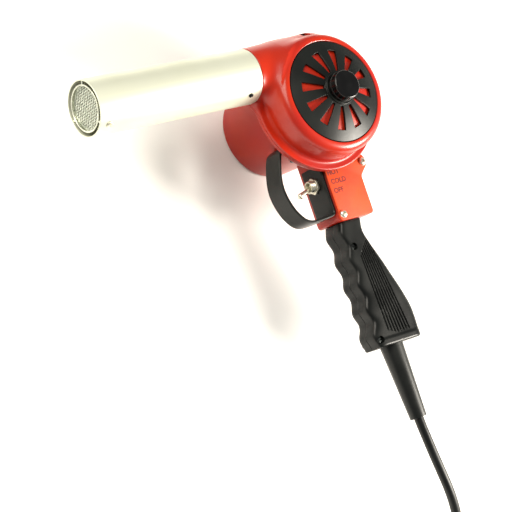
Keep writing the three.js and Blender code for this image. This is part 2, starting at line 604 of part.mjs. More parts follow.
// Two moulded halves of the grip, hollow for the cord, with the screws that hold them together.
function handle() {
  const cavity = plate([[0, -109], [0, -228.5], [34, -228.5], [34, -200], [17, -150], [17, -109]],
    HANDLE_Z - 9.5, HANDLE_Z + 9.5);
  const socket = block(-2.3, 18.3, BOX.y0 - 14, BOX.y0 + 2, HANDLE_Z - 9.3, HANDLE_Z + 9.3);
  const mouth = reliefSolid(GAP);
  let grip = gripSolid().subtract(cavity).subtract(socket).subtract(mouth);
  grip = grip.intersect(block(-40, 80, HANDLE_END, HANDLE_TOP, 0, 100));
  const face = HANDLE_Z + HANDLE_DEPTH / 2;
  HANDLE_SCREWS.forEach(([x, y], i) => {
    grip = grip.subtract(rod([x, y, face - 3.5], [x, y, face + 2], 3.6, 20));
    grip = grip.subtract(rod([x, y, HANDLE_Z - 10], [x, y, face], 1.7, 12));
    const screw = screwAlongZ(x, y, face - 0.8, HANDLE_Z - 9, 1.4, 3.2, 2.4);
    addPiece(`handle_screw_${i + 1}`, darkSteel, screw);
  });
  addPiece('handle_front', blackPlastic, grip.intersect(halfSpace(HANDLE_Z + GAP / 2, 200)));
  addPiece('handle_rear', blackPlastic, grip.intersect(halfSpace(-50, HANDLE_Z - GAP / 2)));
}

// A bar about the cord's own axis, which leaves the grip with a slight lean. Heights are counted
// from the grip's end wall, positive towards the cord.
function alongCord(profile, segments = 16) {
  const { x, start, lean } = RELIEF;
  const points = profile.map(([r, h]) => new THREE.Vector2(r, h));
  const geometry = new THREE.LatheGeometry(points, segments).rotateZ(Math.PI + lean);
  return solidOf(geometry.translate(x, start, HANDLE_Z));
}

// The strain relief's outer shape, grown by a clearance: a collar inside the grip and a long taper.
function reliefSolid(extra) {
  const { big, small, length } = RELIEF;
  return alongCord([
    [0, -5 - extra], [big + 2.5 + extra, -5 - extra], [big + 2.5 + extra, extra], [big + extra, extra],
    [small + extra, length], [0, length],
  ]);
}

// The cord's way from the strain relief down to the floor and on to its coil.
const CORD_ROUTE = [
  [18.5, -306.9, 62], [19.4, -319, 61.8], [21, -332, 61.2], [23.4, -346, 60], [26.6, -360, 58],
  [30.6, -374, 55], [34.8, -388, 50.6], [38.6, -402, 44.6], [41.8, -416, 37.4], [44.3, -430, 29.6],
  [46.1, -444, 22], [47.2, -458, 15.4], [47.7, -470, 10.9], [48, -481, 7.8], [48, -492, 5.9],
  [48, -503, 5], [48, -512, 4.85], [48, -520.6, 4.85],
];

// The last stretch, from the coil into the plug.
const TAIL_ROUTE = [[168.7, -513.6, 14.3], [168.7, -510.4, 14.2], [168.7, -507, 14]];

function ringSection(radius, sides) {
  const corners = arc(0, 0, radius, 0, 360 - 360 / sides, sides - 1);
  return new THREE.Shape(corners.map(([x, y]) => new THREE.Vector2(x, y)));
}

function tubeAlong(points, radius, sides, steps) {
  const path = new THREE.CatmullRomCurve3(points.map((p) => new THREE.Vector3(...p)));
  const options = { steps, extrudePath: path, bevelEnabled: false };
  return solidOf(new THREE.ExtrudeGeometry(ringSection(radius, sides), options));
}

// Strain relief and the cord: inside the grip, free, coiled, and its last stretch to the plug.
function cordGroup() {
  const { length } = RELIEF;
  const bore = alongCord(disc(CORD_RADIUS + GAP, -20, length + 1), 12);
  addPiece('strain_relief', blackRubber, reliefSolid(0).subtract(bore));
  addPiece('cord_inner', blackRubber, alongCord(disc(CORD_RADIUS, -76, length - GAP), 10));
  addPiece('cord_free', blackRubber, tubeAlong(CORD_ROUTE, CORD_RADIUS, 8, 20));

  const { radius, halfWidth, height } = COIL;
  const chamfer = 3;
  const coil = turned([
    [radius - halfWidth, 0.1], [radius + halfWidth, 0.1], [radius + halfWidth, height - chamfer],
    [radius + halfWidth - chamfer, height], [radius - halfWidth + chamfer, height],
    [radius - halfWidth, height - chamfer], [radius - halfWidth, 0.1],
  ], 28).translate([COIL.x, COIL.y, 0]);
  addPiece('cord_coil', blackRubber, coil);
  addPiece('cord_tail', blackRubber, tubeAlong(TAIL_ROUTE, CORD_RADIUS, 8, 3));

  const outer = block(radius - halfWidth - 2.4, radius + halfWidth + 1.8, -6, 6, 0.1, height + 1.6);
  const inner = block(radius - halfWidth - 1.1, radius + halfWidth + 0.5, -8, 8, -1, height + 0.4);
  const tie = outer.subtract(inner).rotate([0, 0, -40]).translate([COIL.x, COIL.y, 0]);
  addPiece('cord_tie', blackRubber, tie);
}

// Grounded three-pin plug, lying where the coil lets go of the cord.
function plug() {
  const { x, y, halfWidth, length, height } = PLUG;
  const neckHalf = 6.8;
  const outline = [
    [-neckHalf, 0], [neckHalf, 0], [halfWidth, 16], [halfWidth, length], [-halfWidth, length],
    [-halfWidth, 16],
  ];
  const face = y + length;
  addPiece('plug_body', blackRubber, plate(outline.map(([px, py]) => [px + x, py + y]), 0.2, height));
  const bladeZ = 8.7;
  [['blade_line', -6.35], ['blade_neutral', 6.35]].forEach(([name, offset]) => {
    const blade = block(x + offset - 0.75, x + offset + 0.75, face + GAP, face + 16,
      bladeZ - 3.2, bladeZ + 3.2);
    addPiece(name, brass, blade);
  });
  const pinZ = bladeZ + 11.9;
  addPiece('earth_pin', brass, rod([x, face + GAP, pinZ], [x, face + 19, pinZ], 2.4, 12));
}

addPiece('motor_housing', redEnamel, motorHousing());
addPiece('fan_housing', redEnamel, fanHousing());
housingScrews();
barrelGroup();
heatingElement();
intakeShutter();
rotorGroup();
motorFixed();
brushGear();
switchBox();
switchCover();
toggleSwitch();
fingerGuard();
handle();
cordGroup();
plug();

export default root;
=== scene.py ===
"""Heat gun with a die-cast body, standing on the flat end of its motor housing.

Sizes are in millimetres and each mesh is brought to metres as it is made. The origin is the centre of
the flat base, +Z runs along the motor to the air intake, the barrel points along -X, the grip along -Y.
"""

import bmesh
import bpy
import numpy as np
from mathutils import Matrix, Quaternion, Vector


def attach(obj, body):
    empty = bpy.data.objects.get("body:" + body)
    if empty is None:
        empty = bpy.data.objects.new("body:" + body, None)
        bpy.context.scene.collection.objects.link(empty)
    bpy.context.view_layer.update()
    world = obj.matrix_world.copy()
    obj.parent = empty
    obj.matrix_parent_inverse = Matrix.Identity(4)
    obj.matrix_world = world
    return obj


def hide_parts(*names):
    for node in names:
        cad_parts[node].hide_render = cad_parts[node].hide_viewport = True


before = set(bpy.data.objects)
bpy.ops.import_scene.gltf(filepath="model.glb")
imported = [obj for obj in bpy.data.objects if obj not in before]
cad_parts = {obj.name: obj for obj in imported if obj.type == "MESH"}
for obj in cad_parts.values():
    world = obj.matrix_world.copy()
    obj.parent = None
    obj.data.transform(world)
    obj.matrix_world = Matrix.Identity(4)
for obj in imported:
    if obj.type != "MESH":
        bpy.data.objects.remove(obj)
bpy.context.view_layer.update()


# ---- Camera -------------------------------------------------------------------------------------
# A long lens that looks down on the gun from the barrel's side, rolled so that the grip hangs down.

MM = 0.001
CAMERA_PLACE = Vector((-1.16831, -0.27810, 1.51076))
CAMERA_LOOK = Vector((0.59126, 0.08682, -0.80179))
CAMERA_ROLL = 64.67          # degrees about the line of sight
CAMERA_LENS = 140.8

camera_data = bpy.data.cameras.new("camera")
camera_data.lens = CAMERA_LENS
camera_data.sensor_width = 36.0
camera_data.clip_end = 20.0
camera = bpy.data.objects.new("camera", camera_data)
aim = CAMERA_LOOK.to_track_quat("-Z", "Y") @ Quaternion((0, 0, 1), np.radians(CAMERA_ROLL))
camera.matrix_world = Matrix.LocRotScale(CAMERA_PLACE, aim, None)
bpy.context.collection.objects.link(camera)
bpy.context.scene.camera = camera


# ---- Lead: cord, strain relief, plug and tie ----------------------------------------------------
# A heavy three-core lead in black PVC. It leaves the grip through a tapered rubber sleeve, drops to the
# floor, and its spare length is wound into a coil of two layers under a tie. It ends in a moulded plug.

CORD_RADIUS = 4.75
TURN_PITCH = 9.7
COIL_CENTRE = (110.7, -556.0)
COIL_OUTER = 62.7            # middle of the outermost turn
COIL_TURNS = 2.0             # in each layer
LAYER_LOW, LAYER_HIGH = 4.8, 14.4
RELIEF_START = np.array([15.4, -231.0, 62.0])
RELIEF_AXIS = np.array([np.sin(0.04), -np.cos(0.04), 0.0])
RELIEF_LENGTH = 75.5
CORD_DROP = [
    (19.4, -319, 61.8), (21, -332, 61.2), (23.4, -346, 60), (26.6, -360, 58), (30.6, -374, 55),
    (34.8, -388, 50.6), (38.6, -402, 44.6), (41.8, -416, 37.4), (44.3, -430, 29.6), (46.1, -444, 22),
    (47.2, -458, 15.4), (47.7, -470, 10.9), (48, -481, 7.8), (48, -492, 5.9), (48, -503, 5),
    (48, -520, 4.8), (48, -538, 4.8),
]
CORD_TAIL = [(173.2, -545, 14.3), (171.6, -530, 14.3), (169.6, -518, 14.2), (168.8, -511, 14.1),
             (168.7, -506.9, 14.0)]
PLUG = dict(x=168.7, y=-506.6, z=13.75, neck=6.8, half=14.3, tall=13.2, shoulder=16.0, length=38.0,
            rib_pitch=3.2, rib_depth=0.35)
BLADE_Z, BLADE_SIDE, BLADE_HALF_THICK, BLADE_HALF_WIDE = 8.7, 6.35, 0.75, 3.2
PIN_Z, PIN_RADIUS, PIN_LENGTH = 20.6, 2.4, 19.0
TIE_ANGLE, TIE_HALF_WIDE, TIE_HALF_THICK = np.radians(-40), 6.0, 0.6


def linear(code, alpha=1.0):
    """sRGB hex to linear: c / 12.92 up to 0.04045, else ((c + 0.055) / 1.055) to the power 2.4."""
    c = np.array([int(code[i:i + 2], 16) for i in (1, 3, 5)]) / 255
    return (*np.where(c <= 0.04045, c / 12.92, ((c + 0.055) / 1.055) ** 2.4), alpha)


def add(tree, kind, inputs=(), **settings):
    """Adds one shader node. inputs maps a socket's name or number to a value or to a socket."""
    made = tree.nodes.new("ShaderNode" + kind)
    for key, value in settings.items():
        setattr(made, key, value)
    for key, value in dict(inputs).items():
        if isinstance(value, bpy.types.NodeSocket):
            tree.links.new(value, made.inputs[key])
        else:
            made.inputs[key].default_value = value
    return made


def finish(name, tones, rough, patch, grain, relief, stretch=(1, 1, 1), detail=3.0, **sockets):
    """A finish on Object coordinates. Soft patches of the given size in mm run between the two tones
    and the two roughnesses; grain of the given size stands up by relief mm. stretch draws both out
    along an axis, as brushing does. sockets are steady values on the shader itself."""
    material = bpy.data.materials.new(name)
    material.use_nodes = True
    tree = material.node_tree
    shader = tree.nodes["Principled BSDF"]
    for key, value in sockets.items():
        shader.inputs[key.replace("_", " ")].default_value = value
    where = add(tree, "TexCoord").outputs["Object"]
    drawn = add(tree, "Mapping", {"Vector": where, "Scale": stretch}).outputs[0]
    patches = add(tree, "TexNoise", {"Vector": drawn, "Scale": 1 / (patch * MM), "Detail": 2.0}).outputs[0]
    spread = add(tree, "MapRange", {"Value": patches, "From Min": 0.35, "From Max": 0.65}).outputs[0]
    tone = add(tree, "Mix", {0: spread, 6: linear(tones[0]), 7: linear(tones[1])}, data_type="RGBA")
    tree.links.new(tone.outputs[2], shader.inputs["Base Color"])
    dull = add(tree, "MapRange", {"Value": patches, "From Min": 0.35, "From Max": 0.65,
                                  "To Min": rough[0], "To Max": rough[1]})
    tree.links.new(dull.outputs[0], shader.inputs["Roughness"])
    grains = add(tree, "TexNoise", {"Vector": drawn, "Scale": 1 / (grain * MM), "Detail": detail})
    bump = add(tree, "Bump", {"Height": grains.outputs[0], "Distance": relief * MM, "Strength": 1.0})
    tree.links.new(bump.outputs[0], shader.inputs["Normal"])
    return material


def unit(v):
    """A vector, or rows of vectors, divided by the length."""
    return v / np.linalg.norm(v, axis=-1, keepdims=True)


def smooth_path(points, per_span=8):
    """Catmull-Rom curve through points: between P1 and P2 it is half of
    2 P1 + (P2 - P0) t + (2 P0 - 5 P1 + 4 P2 - P3) t^2 + (3 P1 - P0 - 3 P2 + P3) t^3."""
    p = np.asarray(points, float)
    p = np.vstack([2 * p[0] - p[1], p, 2 * p[-1] - p[-2]])
    a, b, c, d = (q[:, None] for q in (p[:-3], p[1:-2], p[2:-1], p[3:]))
    t = np.linspace(0, 1, per_span, endpoint=False)[None, :, None]
    curve = 0.5 * (2 * b + (c - a) * t + (2 * a - 5 * b + 4 * c - d) * t**2 + (3 * b - a - 3 * c + d) * t**3)
    return np.vstack([curve.reshape(-1, p.shape[1]), p[-2]])


def eased(corners, cut, steps=4, closed=True):
    """Each corner P becomes the curve (1-s)^2 A + 2 s (1-s) P + s^2 B, where A and B lie cut mm from P
    along its two sides, or half a side where that is less."""
    p = np.asarray(corners, float)
    back, on = np.roll(p, 1, 0) - p, np.roll(p, -1, 0) - p
    cut_back, cut_on = (np.minimum(np.broadcast_to(cut, len(p)) / np.linalg.norm(v, axis=1), 0.5)[:, None]
                        for v in (back, on))
    a, b = (p + back * cut_back)[:, None], (p + on * cut_on)[:, None]
    s = np.linspace(0, 1, steps + 1)[None, :, None]
    curve = (1 - s) ** 2 * a + 2 * s * (1 - s) * p[:, None] + s**2 * b
    if closed:
        return curve.reshape(-1, p.shape[1])
    return np.vstack([p[:1], curve[1:-1].reshape(-1, p.shape[1]), p[-1:]])


def grid(points, closed=False):
    """Points of a (rows, columns, 3) array and the quads between neighbours; closed joins the last
    column to the first."""
    rows, columns = points.shape[:2]
    index = np.arange(rows * columns).reshape(rows, columns)
    if closed:
        index = np.hstack([index, index[:, :1]])
    quads = np.stack([index[:-1, :-1], index[:-1, 1:], index[1:, 1:], index[1:, :-1]], axis=-1)
    return points.reshape(-1, 3), quads.reshape(-1, 4).tolist()


def capped(points):
    """A closed-column grid with a flat face over its first and its last row."""
    flat, faces = grid(points, closed=True)
    count, total = points.shape[1], len(flat)
    return flat, faces + [list(range(count)), list(range(total - count, total))]


def turned(profile, centre=(0, 0, 0), axis=(0, 0, 1), segments=96):
    """A profile of (radius, height) carried round an axis:
    centre + height * axis + radius * (cos a * across + sin a * beside)."""
    axis = unit(np.array(axis, float))
    across = unit(np.cross((0, 0, 1) if abs(axis[2]) < 0.9 else (0, 1, 0), axis))
    a = np.linspace(0, 2 * np.pi, segments, endpoint=False)[:, None]
    ring = np.cos(a) * across + np.sin(a) * np.cross(axis, across)
    r, h = np.asarray(profile, float).T[:, :, None, None]
    return grid(np.asarray(centre, float) + h * axis + r * ring, closed=True)


def loop(profile):
    """A profile closed on itself, so that turning it gives a ring with a wall all round."""
    return np.vstack([profile, profile[:1]])


def carried(path, section, up=(0, 0, 1)):
    """A closed section of (across, up) carried along a path: point + across * (direction x up) + up."""
    path = np.asarray(path, float)
    way = unit(np.gradient(path, axis=0))
    across = unit(np.cross(way, up))
    over = np.cross(across, way)
    s = np.asarray(section, float)
    return capped(path[:, None] + s[None, :, :1] * across[:, None] + s[None, :, 1:] * over[:, None])


def joined(*parts):
    """Several (points, faces) surfaces as one, each one's faces counted on past the points before."""
    points, faces, start = [], [], 0
    for part_points, part_faces in parts:
        points.append(np.asarray(part_points, float).reshape(-1, 3))
        faces += [[i + start for i in face] for face in part_faces]
        start += len(points[-1])
    return np.vstack(points), faces


def piece(name, surface, material, replaced=(), body="gun", crease=35):
    """A mesh object from points in mm. Doubles are merged, which closes seams and poles, the faces are
    turned outward, and edges sharper than crease degrees stay sharp."""
    mesh = bpy.data.meshes.new(name)
    mesh.from_pydata((np.asarray(surface[0]) * MM).tolist(), [], surface[1])
    work = bmesh.new()
    work.from_mesh(mesh)
    bmesh.ops.remove_doubles(work, verts=work.verts, dist=2e-6)
    bmesh.ops.recalc_face_normals(work, faces=work.faces)
    work.to_mesh(mesh)
    work.free()
    mesh.shade_smooth()
    mesh.set_sharp_from_angle(angle=np.radians(crease))
    mesh.materials.append(material)
    made = bpy.data.objects.new(name, mesh)
    bpy.context.collection.objects.link(made)
    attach(made, body)
    if replaced:
        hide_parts(*([replaced] if isinstance(replaced, str) else replaced))
    return made


def coat(material, *nodes):
    """Gives CAD nodes whose shape stays a finish of their own."""
    for name in nodes:
        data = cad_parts[name].data
        if not data.materials:
            data.materials.append(material)
        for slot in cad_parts[name].material_slots:
            slot.material = material


# Extruded PVC: near black with a soft sheen, and drag marks too fine to see one by one.
cord_pvc = finish("extruded_black_pvc", ("#070908", "#0c0f0d"), (0.36, 0.46), 30, 0.8, 0.05,
                  Specular_IOR_Level=0.32)
# Moulded rubber: duller than the cord, with a mould's spark-eroded grain.
relief_rubber = finish("moulded_black_rubber", ("#080a09", "#0d100e"), (0.34, 0.44), 25, 0.7, 0.05,
                       Specular_IOR_Level=0.32)
# Turned and stamped brass, unplated, a little tarnished.
pin_brass = finish("stamped_brass", ("#c9a45a", "#b08a45"), (0.22, 0.38), 6, 0.4, 0.01, Metallic=1.0)

exit_point = RELIEF_START + RELIEF_AXIS * RELIEF_LENGTH
lap = np.linspace(0, 1, int(36 * COIL_TURNS) + 1)
rise = np.linspace(0, 1, 19)[1:-1]
inner_radius = COIL_OUTER - TURN_PITCH * COIL_TURNS
coil_angle = np.pi + 2 * np.pi * np.concatenate([
    COIL_TURNS * lap, COIL_TURNS + 0.5 * rise, COIL_TURNS + 0.5 + COIL_TURNS * lap])
coil_radius = np.concatenate([
    COIL_OUTER - TURN_PITCH * COIL_TURNS * lap, inner_radius - np.sin(np.pi * rise),
    inner_radius + TURN_PITCH * COIL_TURNS * lap])
coil_height = np.concatenate([
    np.full_like(lap, LAYER_LOW), LAYER_LOW + (LAYER_HIGH - LAYER_LOW) * rise,
    np.full_like(lap, LAYER_HIGH)])
coil = np.stack([COIL_CENTRE[0] + coil_radius * np.cos(coil_angle),
                 COIL_CENTRE[1] + coil_radius * np.sin(coil_angle), coil_height], axis=-1)
cord_points = np.vstack([[exit_point, exit_point + 6 * RELIEF_AXIS], CORD_DROP, coil, CORD_TAIL])
cord_curve = bpy.data.curves.new("cord", "CURVE")
cord_curve.dimensions = "3D"
cord_curve.bevel_depth = CORD_RADIUS * MM
cord_curve.bevel_resolution = 6
cord_curve.use_fill_caps = True
line = cord_curve.splines.new("NURBS")
line.points.add(len(cord_points) - 1)
line.points.foreach_set("co", np.hstack([cord_points * MM, np.ones((len(cord_points), 1))]).ravel())
line.use_endpoint_u = True
line.order_u = 3
line.resolution_u = 3
line.use_smooth = True
cord_curve.materials.append(cord_pvc)
cord = bpy.data.objects.new("cord", cord_curve)
bpy.context.collection.objects.link(cord)
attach(cord, "gun")
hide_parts("cord_free", "cord_coil", "cord_tail")

# The sleeve's wall: a bore for the cord, a collar caught inside the grip, and a long taper outside.
relief_profile = eased([(5.0, 62), (5.0, -5), (13.6, -5), (13.6, -0.6), (11.4, -0.6), (11.1, 6),
                        (8.15, RELIEF_LENGTH), (5.7, RELIEF_LENGTH), (5.4, 62)],
                       (0, 0, 0, 0, 0.1, 2, 0.7, 0.5, 0))
piece("strain_relief_sleeve", turned(loop(relief_profile), RELIEF_START, RELIEF_AXIS, 64),
      relief_rubber, "strain_relief")
coat(cord_pvc, "cord_inner")

# The plug grows from a round neck with finger ribs to a flat-sided body: each ring is a superellipse
# |x|^n + |z|^n = 1, with n going from 2 to 4 over the shoulder.
along = np.concatenate([[0, 0, 0.4, 1.2], np.linspace(2, PLUG["length"] - 1.6, 34),
                        [PLUG["length"] - 0.5, PLUG["length"], PLUG["length"]]])
size = np.concatenate([[0.0, 0.86, 0.95, 0.99], np.ones(34), [0.985, 0.94, 0.0]])
swell = np.clip(along / PLUG["shoulder"], 0, 1)
swell = swell * swell * (3 - 2 * swell)
half = (PLUG["neck"] + (PLUG["half"] - PLUG["neck"]) * swell) * size
on_shoulder = (along > 2) * (along < PLUG["shoulder"] - 2)
half = half - PLUG["rib_depth"] * (np.cos(2 * np.pi * along / PLUG["rib_pitch"]) < -0.2) * on_shoulder
tall = (PLUG["neck"] + (PLUG["tall"] - PLUG["neck"]) * swell) * size
a = np.linspace(0, 2 * np.pi, 72, endpoint=False)
power = 2 + 2 * swell[:, None]
reach = (np.abs(np.cos(a)) ** power + np.abs(np.sin(a)) ** power) ** (-1 / power)
plug_points = np.stack([PLUG["x"] + half[:, None] * reach * np.cos(a),
                        np.broadcast_to(PLUG["y"] + along[:, None], reach.shape),
                        PLUG["z"] + tall[:, None] * reach * np.sin(a)], axis=-1)
plug_body = piece("plug_moulding", grid(plug_points, closed=True), relief_rubber, "plug_body")

face_y = PLUG["y"] + PLUG["length"]
blade_section = eased([(-BLADE_HALF_THICK, -BLADE_HALF_WIDE), (BLADE_HALF_THICK, -BLADE_HALF_WIDE),
                       (BLADE_HALF_THICK, BLADE_HALF_WIDE), (-BLADE_HALF_THICK, BLADE_HALF_WIDE)], 0.3, 2)
blade_reach = np.array([0.0, 13.5, 14.8, 15.6, 16.0])
blade_shrink = np.array([1, 1, 0.93, 0.78, 0.5])
for node_name, side in (("blade_line", -BLADE_SIDE), ("blade_neutral", BLADE_SIDE)):
    high = blade_section[None, :, 1] * blade_shrink[:, None] + BLADE_Z
    rings = np.stack([np.broadcast_to(blade_section[:, 0] + PLUG["x"] + side, high.shape),
                      np.broadcast_to((face_y + blade_reach)[:, None], high.shape), high], axis=-1)
    piece(node_name + "_pin", capped(rings), pin_brass, node_name)
pin_profile = eased([(0, 0), (PIN_RADIUS, 0), (PIN_RADIUS, PIN_LENGTH), (0, PIN_LENGTH)],
                    (0, 0, 1.6, 0), 6, closed=False)
earth = piece("earth_round_pin", turned(pin_profile, (PLUG["x"], face_y, PIN_Z), (0, 1, 0), 32),
              pin_brass, "earth_pin")

# The tie is a flat rubber strap over the coil, 12 mm wide and 1.2 mm thick.
outward = np.array([np.cos(TIE_ANGLE), np.sin(TIE_ANGLE), 0])
strap_line = eased([(36.9, 0.15), (36.9, 20.3), (68.5, 20.3), (68.5, 0.15)], 4, 8, closed=False)
strap_path = np.array([*COIL_CENTRE, 0]) + strap_line[:, :1] * outward + strap_line[:, 1:] * (0, 0, 1)
tie_section = eased([(-TIE_HALF_WIDE, -TIE_HALF_THICK), (TIE_HALF_WIDE, -TIE_HALF_THICK),
                     (TIE_HALF_WIDE, TIE_HALF_THICK), (-TIE_HALF_WIDE, TIE_HALF_THICK)], 0.3, 2)
side_way = np.cross(outward, (0, 0, 1))
tie = piece("cord_tie_strap", carried(strap_path, tie_section[:, ::-1], side_way), relief_rubber,
            "cord_tie")


# ---- Housing: motor can and fan housing ---------------------------------------------------------
# Two aluminium die castings in stoved red enamel, which meet at a fine line in the flange and in the
# neck. The neck for the barrel flows into the drum with a cast fillet. Three screws hold them together.

SPLIT_Z, SPLIT_HALF = 88.0, 0.15
BARREL_AXIS = (36.2, 90.7)           # y and z of the barrel's axis
NECK_FRONT, NECK_BACK = -67.8, 8.0
NECK_SMALL, NECK_BIG = 25.6, 28.4
NECK_COLUMNS = 150
FILLET, FILLET_TIGHT = 14.0, 1.5     # at the barrel's side of the drum, and all else round the neck
SINK, SINK_MOST = 0.1, 2.0
RIM_RADIUS, FLANGE_RADIUS = 49.3, 65.5
SHELL_STEP, SHELL_COLUMNS = 1.1, 400
TOP_SCREW = (3.0, 59.6)
COUNTERBORE, COUNTERBORE_FLOOR = 4.3, 98.0

# Stoved enamel over a casting: a soft gloss with a faint orange peel of about 1.5 mm.
enamel = finish("stoved_red_enamel", ("#ac250c", "#a01b10"), (0.28, 0.36), 45, 1.5, 0.02,
                Specular_IOR_Level=0.34, Coat_Weight=0.12, Coat_Roughness=0.12)
# Zinc-plated steel screws: pale, a little yellow, softly shiny.
zinc = finish("zinc_plated_steel", ("#f0ecda", "#dcd8c4"), (0.26, 0.4), 4, 0.35, 0.012, Metallic=0.9)
# Blackened steel screws: dark and oily.
black_oxide = finish("black_oxide_steel", ("#3a3d3c", "#2c2f2f"), (0.3, 0.45), 5, 0.4, 0.02, Metallic=1.0)


def outline_distance(r, z, outline):
    """Signed distance from points to a closed outline in (radius, height): to the nearest side, and
    negative where a ray towards +r crosses an odd number of sides."""
    a = np.asarray(outline, float)
    b = np.roll(a, -1, 0)
    q = np.stack([r, z], axis=-1)[..., None, :]
    side = b - a
    t = np.clip(((q - a) * side).sum(-1) / np.maximum((side**2).sum(-1), 1e-12), 0, 1)
    near = np.linalg.norm(q - a - t[..., None] * side, axis=-1).min(-1)
    over = (a[:, 1] > z[..., None]) != (b[:, 1] > z[..., None])
    rise = np.where(side[:, 1] == 0, 1e-12, side[:, 1])
    crossing = a[:, 0] + (z[..., None] - a[:, 1]) / rise * side[:, 0]
    odd = (over & (crossing > r[..., None])).sum(-1) % 2 == 1
    return np.where(odd, -near, near)


def neck_radius(x):
    """Radius of the neck: a straight taper to NECK_BACK, then a ball of the big radius."""
    taper = NECK_SMALL + (NECK_BIG - NECK_SMALL) * (x - NECK_FRONT) / (NECK_BACK - NECK_FRONT)
    ball = np.sqrt(np.maximum(NECK_BIG**2 - np.maximum(x - NECK_BACK, 0) ** 2, 0))
    return np.where(x > NECK_BACK, ball, taper)


def neck_y(x):
    """The neck's axis, which leans 0.8 mm outward from the barrel to the ball."""
    return BARREL_AXIS[0] + 0.8 * np.clip((x - NECK_FRONT) / (NECK_BACK - NECK_FRONT), 0, 1)


def neck_distance(p):
    """Distance to the neck: from its axis less the taper, and from the ball's centre past its end."""
    x, y, z = np.moveaxis(p, -1, 0)
    past = np.maximum(x - NECK_BACK, 0)
    return np.sqrt((y - neck_y(x)) ** 2 + (z - BARREL_AXIS[1]) ** 2 + past**2) - np.where(
        x > NECK_BACK, NECK_BIG, neck_radius(np.minimum(x, NECK_BACK)))


def cast_distance(p, outline):
    """Distance to one surface that joins the turned body and the neck, the body's own distance, and h.
    With distances a and b, h = max(k - |a - b|, 0) / k and the joined one is min(a, b) - h^2 k / 4."""
    reach = np.hypot(p[..., 0], p[..., 1])
    a, b = outline_distance(reach, p[..., 2], outline), neck_distance(p)
    clear = np.where(p[..., 2] > SPLIT_Z + 8, np.clip((reach - RIM_RADIUS - 1) / 6, 0, 1), 1)
    k = FILLET_TIGHT + (FILLET - FILLET_TIGHT) * np.clip((-p[..., 0] - 6) / 30, 0, 1) * clear
    h = np.maximum(k - np.abs(a - b), 0) / k
    near = np.minimum(a, b)
    return np.minimum(np.where(near < -3, 0, near), 6) - h * h * k / 4, a, h


def faired(made, outline):
    """Shading normals in the fillet follow the slope of the joined distance, by central differences over
    0.1 mm, so the line where neck and body cross does not show."""
    mesh = made.data
    p = np.empty(len(mesh.vertices) * 3)
    mesh.vertices.foreach_get("co", p)
    p = p.reshape(-1, 3) / MM
    height, _, h = cast_distance(p, outline)
    slope = np.stack([cast_distance(p + e, outline)[0] - cast_distance(p - e, outline)[0]
                      for e in 0.05 * np.eye(3)], axis=-1)
    off_split = np.abs(p[:, 2] - SPLIT_Z) > 0.4
    fair = (h > 0.02) & (np.abs(height) < 2.2) & off_split & (p[:, 0] < -6)
    slope = np.where(fair[:, None], unit(slope + 1e-12), 0)
    corner = np.empty(len(mesh.loops), int)
    mesh.loops.foreach_get("vertex_index", corner)
    mesh.normals_split_custom_set(slope[corner].tolist())


def flowed(p, way, outline, own_turned, free):
    """Points pushed along their own normals onto the joined surface. Past the line where the two
    distances agree each part sinks by 0.1 d^2 under the other, at most 2 mm."""
    start = p.copy()
    for _ in range(16):
        p = p - (0.8 * cast_distance(p, outline)[0] * free)[..., None] * way
        travel = ((p - start) * way).sum(-1)
        p = start + np.clip(travel, 0, FILLET / 2)[..., None] * way
    a = cast_distance(p, outline)[1]
    past = np.maximum((a - neck_distance(p)) * (1 if own_turned else -1) - 0.3, 0)
    p = p - (np.minimum(SINK * past**2, SINK_MOST) * free)[..., None] * way
    p[..., 1] = np.minimum(p[..., 1], FLANGE_RADIUS - 0.05)
    return p, a


def half_round(radius, edge, upper):
    """The angles round the neck's axis that one casting spans, from split face to split face."""
    low = np.arcsin(np.clip((edge - BARREL_AXIS[1]) / radius, -1, 1))
    t = np.linspace(0, 1, NECK_COLUMNS)[:, None]
    return low + t * (np.pi - 2 * low) if upper else low - t * (np.pi + 2 * low)


def counterbored(neck):
    """The neck with the top screw's flat-floored hole: points near its rim move onto the rim, and
    points inside it drop to the floor."""
    gap = neck[..., :2] - TOP_SCREW
    far = np.linalg.norm(gap, axis=-1)
    on_rim = np.abs(far - COUNTERBORE) < 0.45
    snapped = np.array(TOP_SCREW) + gap / np.maximum(far, 1e-6)[..., None] * COUNTERBORE
    neck[..., :2] = np.where(on_rim[..., None], snapped, neck[..., :2])
    inside = (far < COUNTERBORE - 0.45) & (neck[..., 2] > COUNTERBORE_FLOOR)
    neck[..., 2] = np.where(inside, COUNTERBORE_FLOOR, neck[..., 2])
    return neck


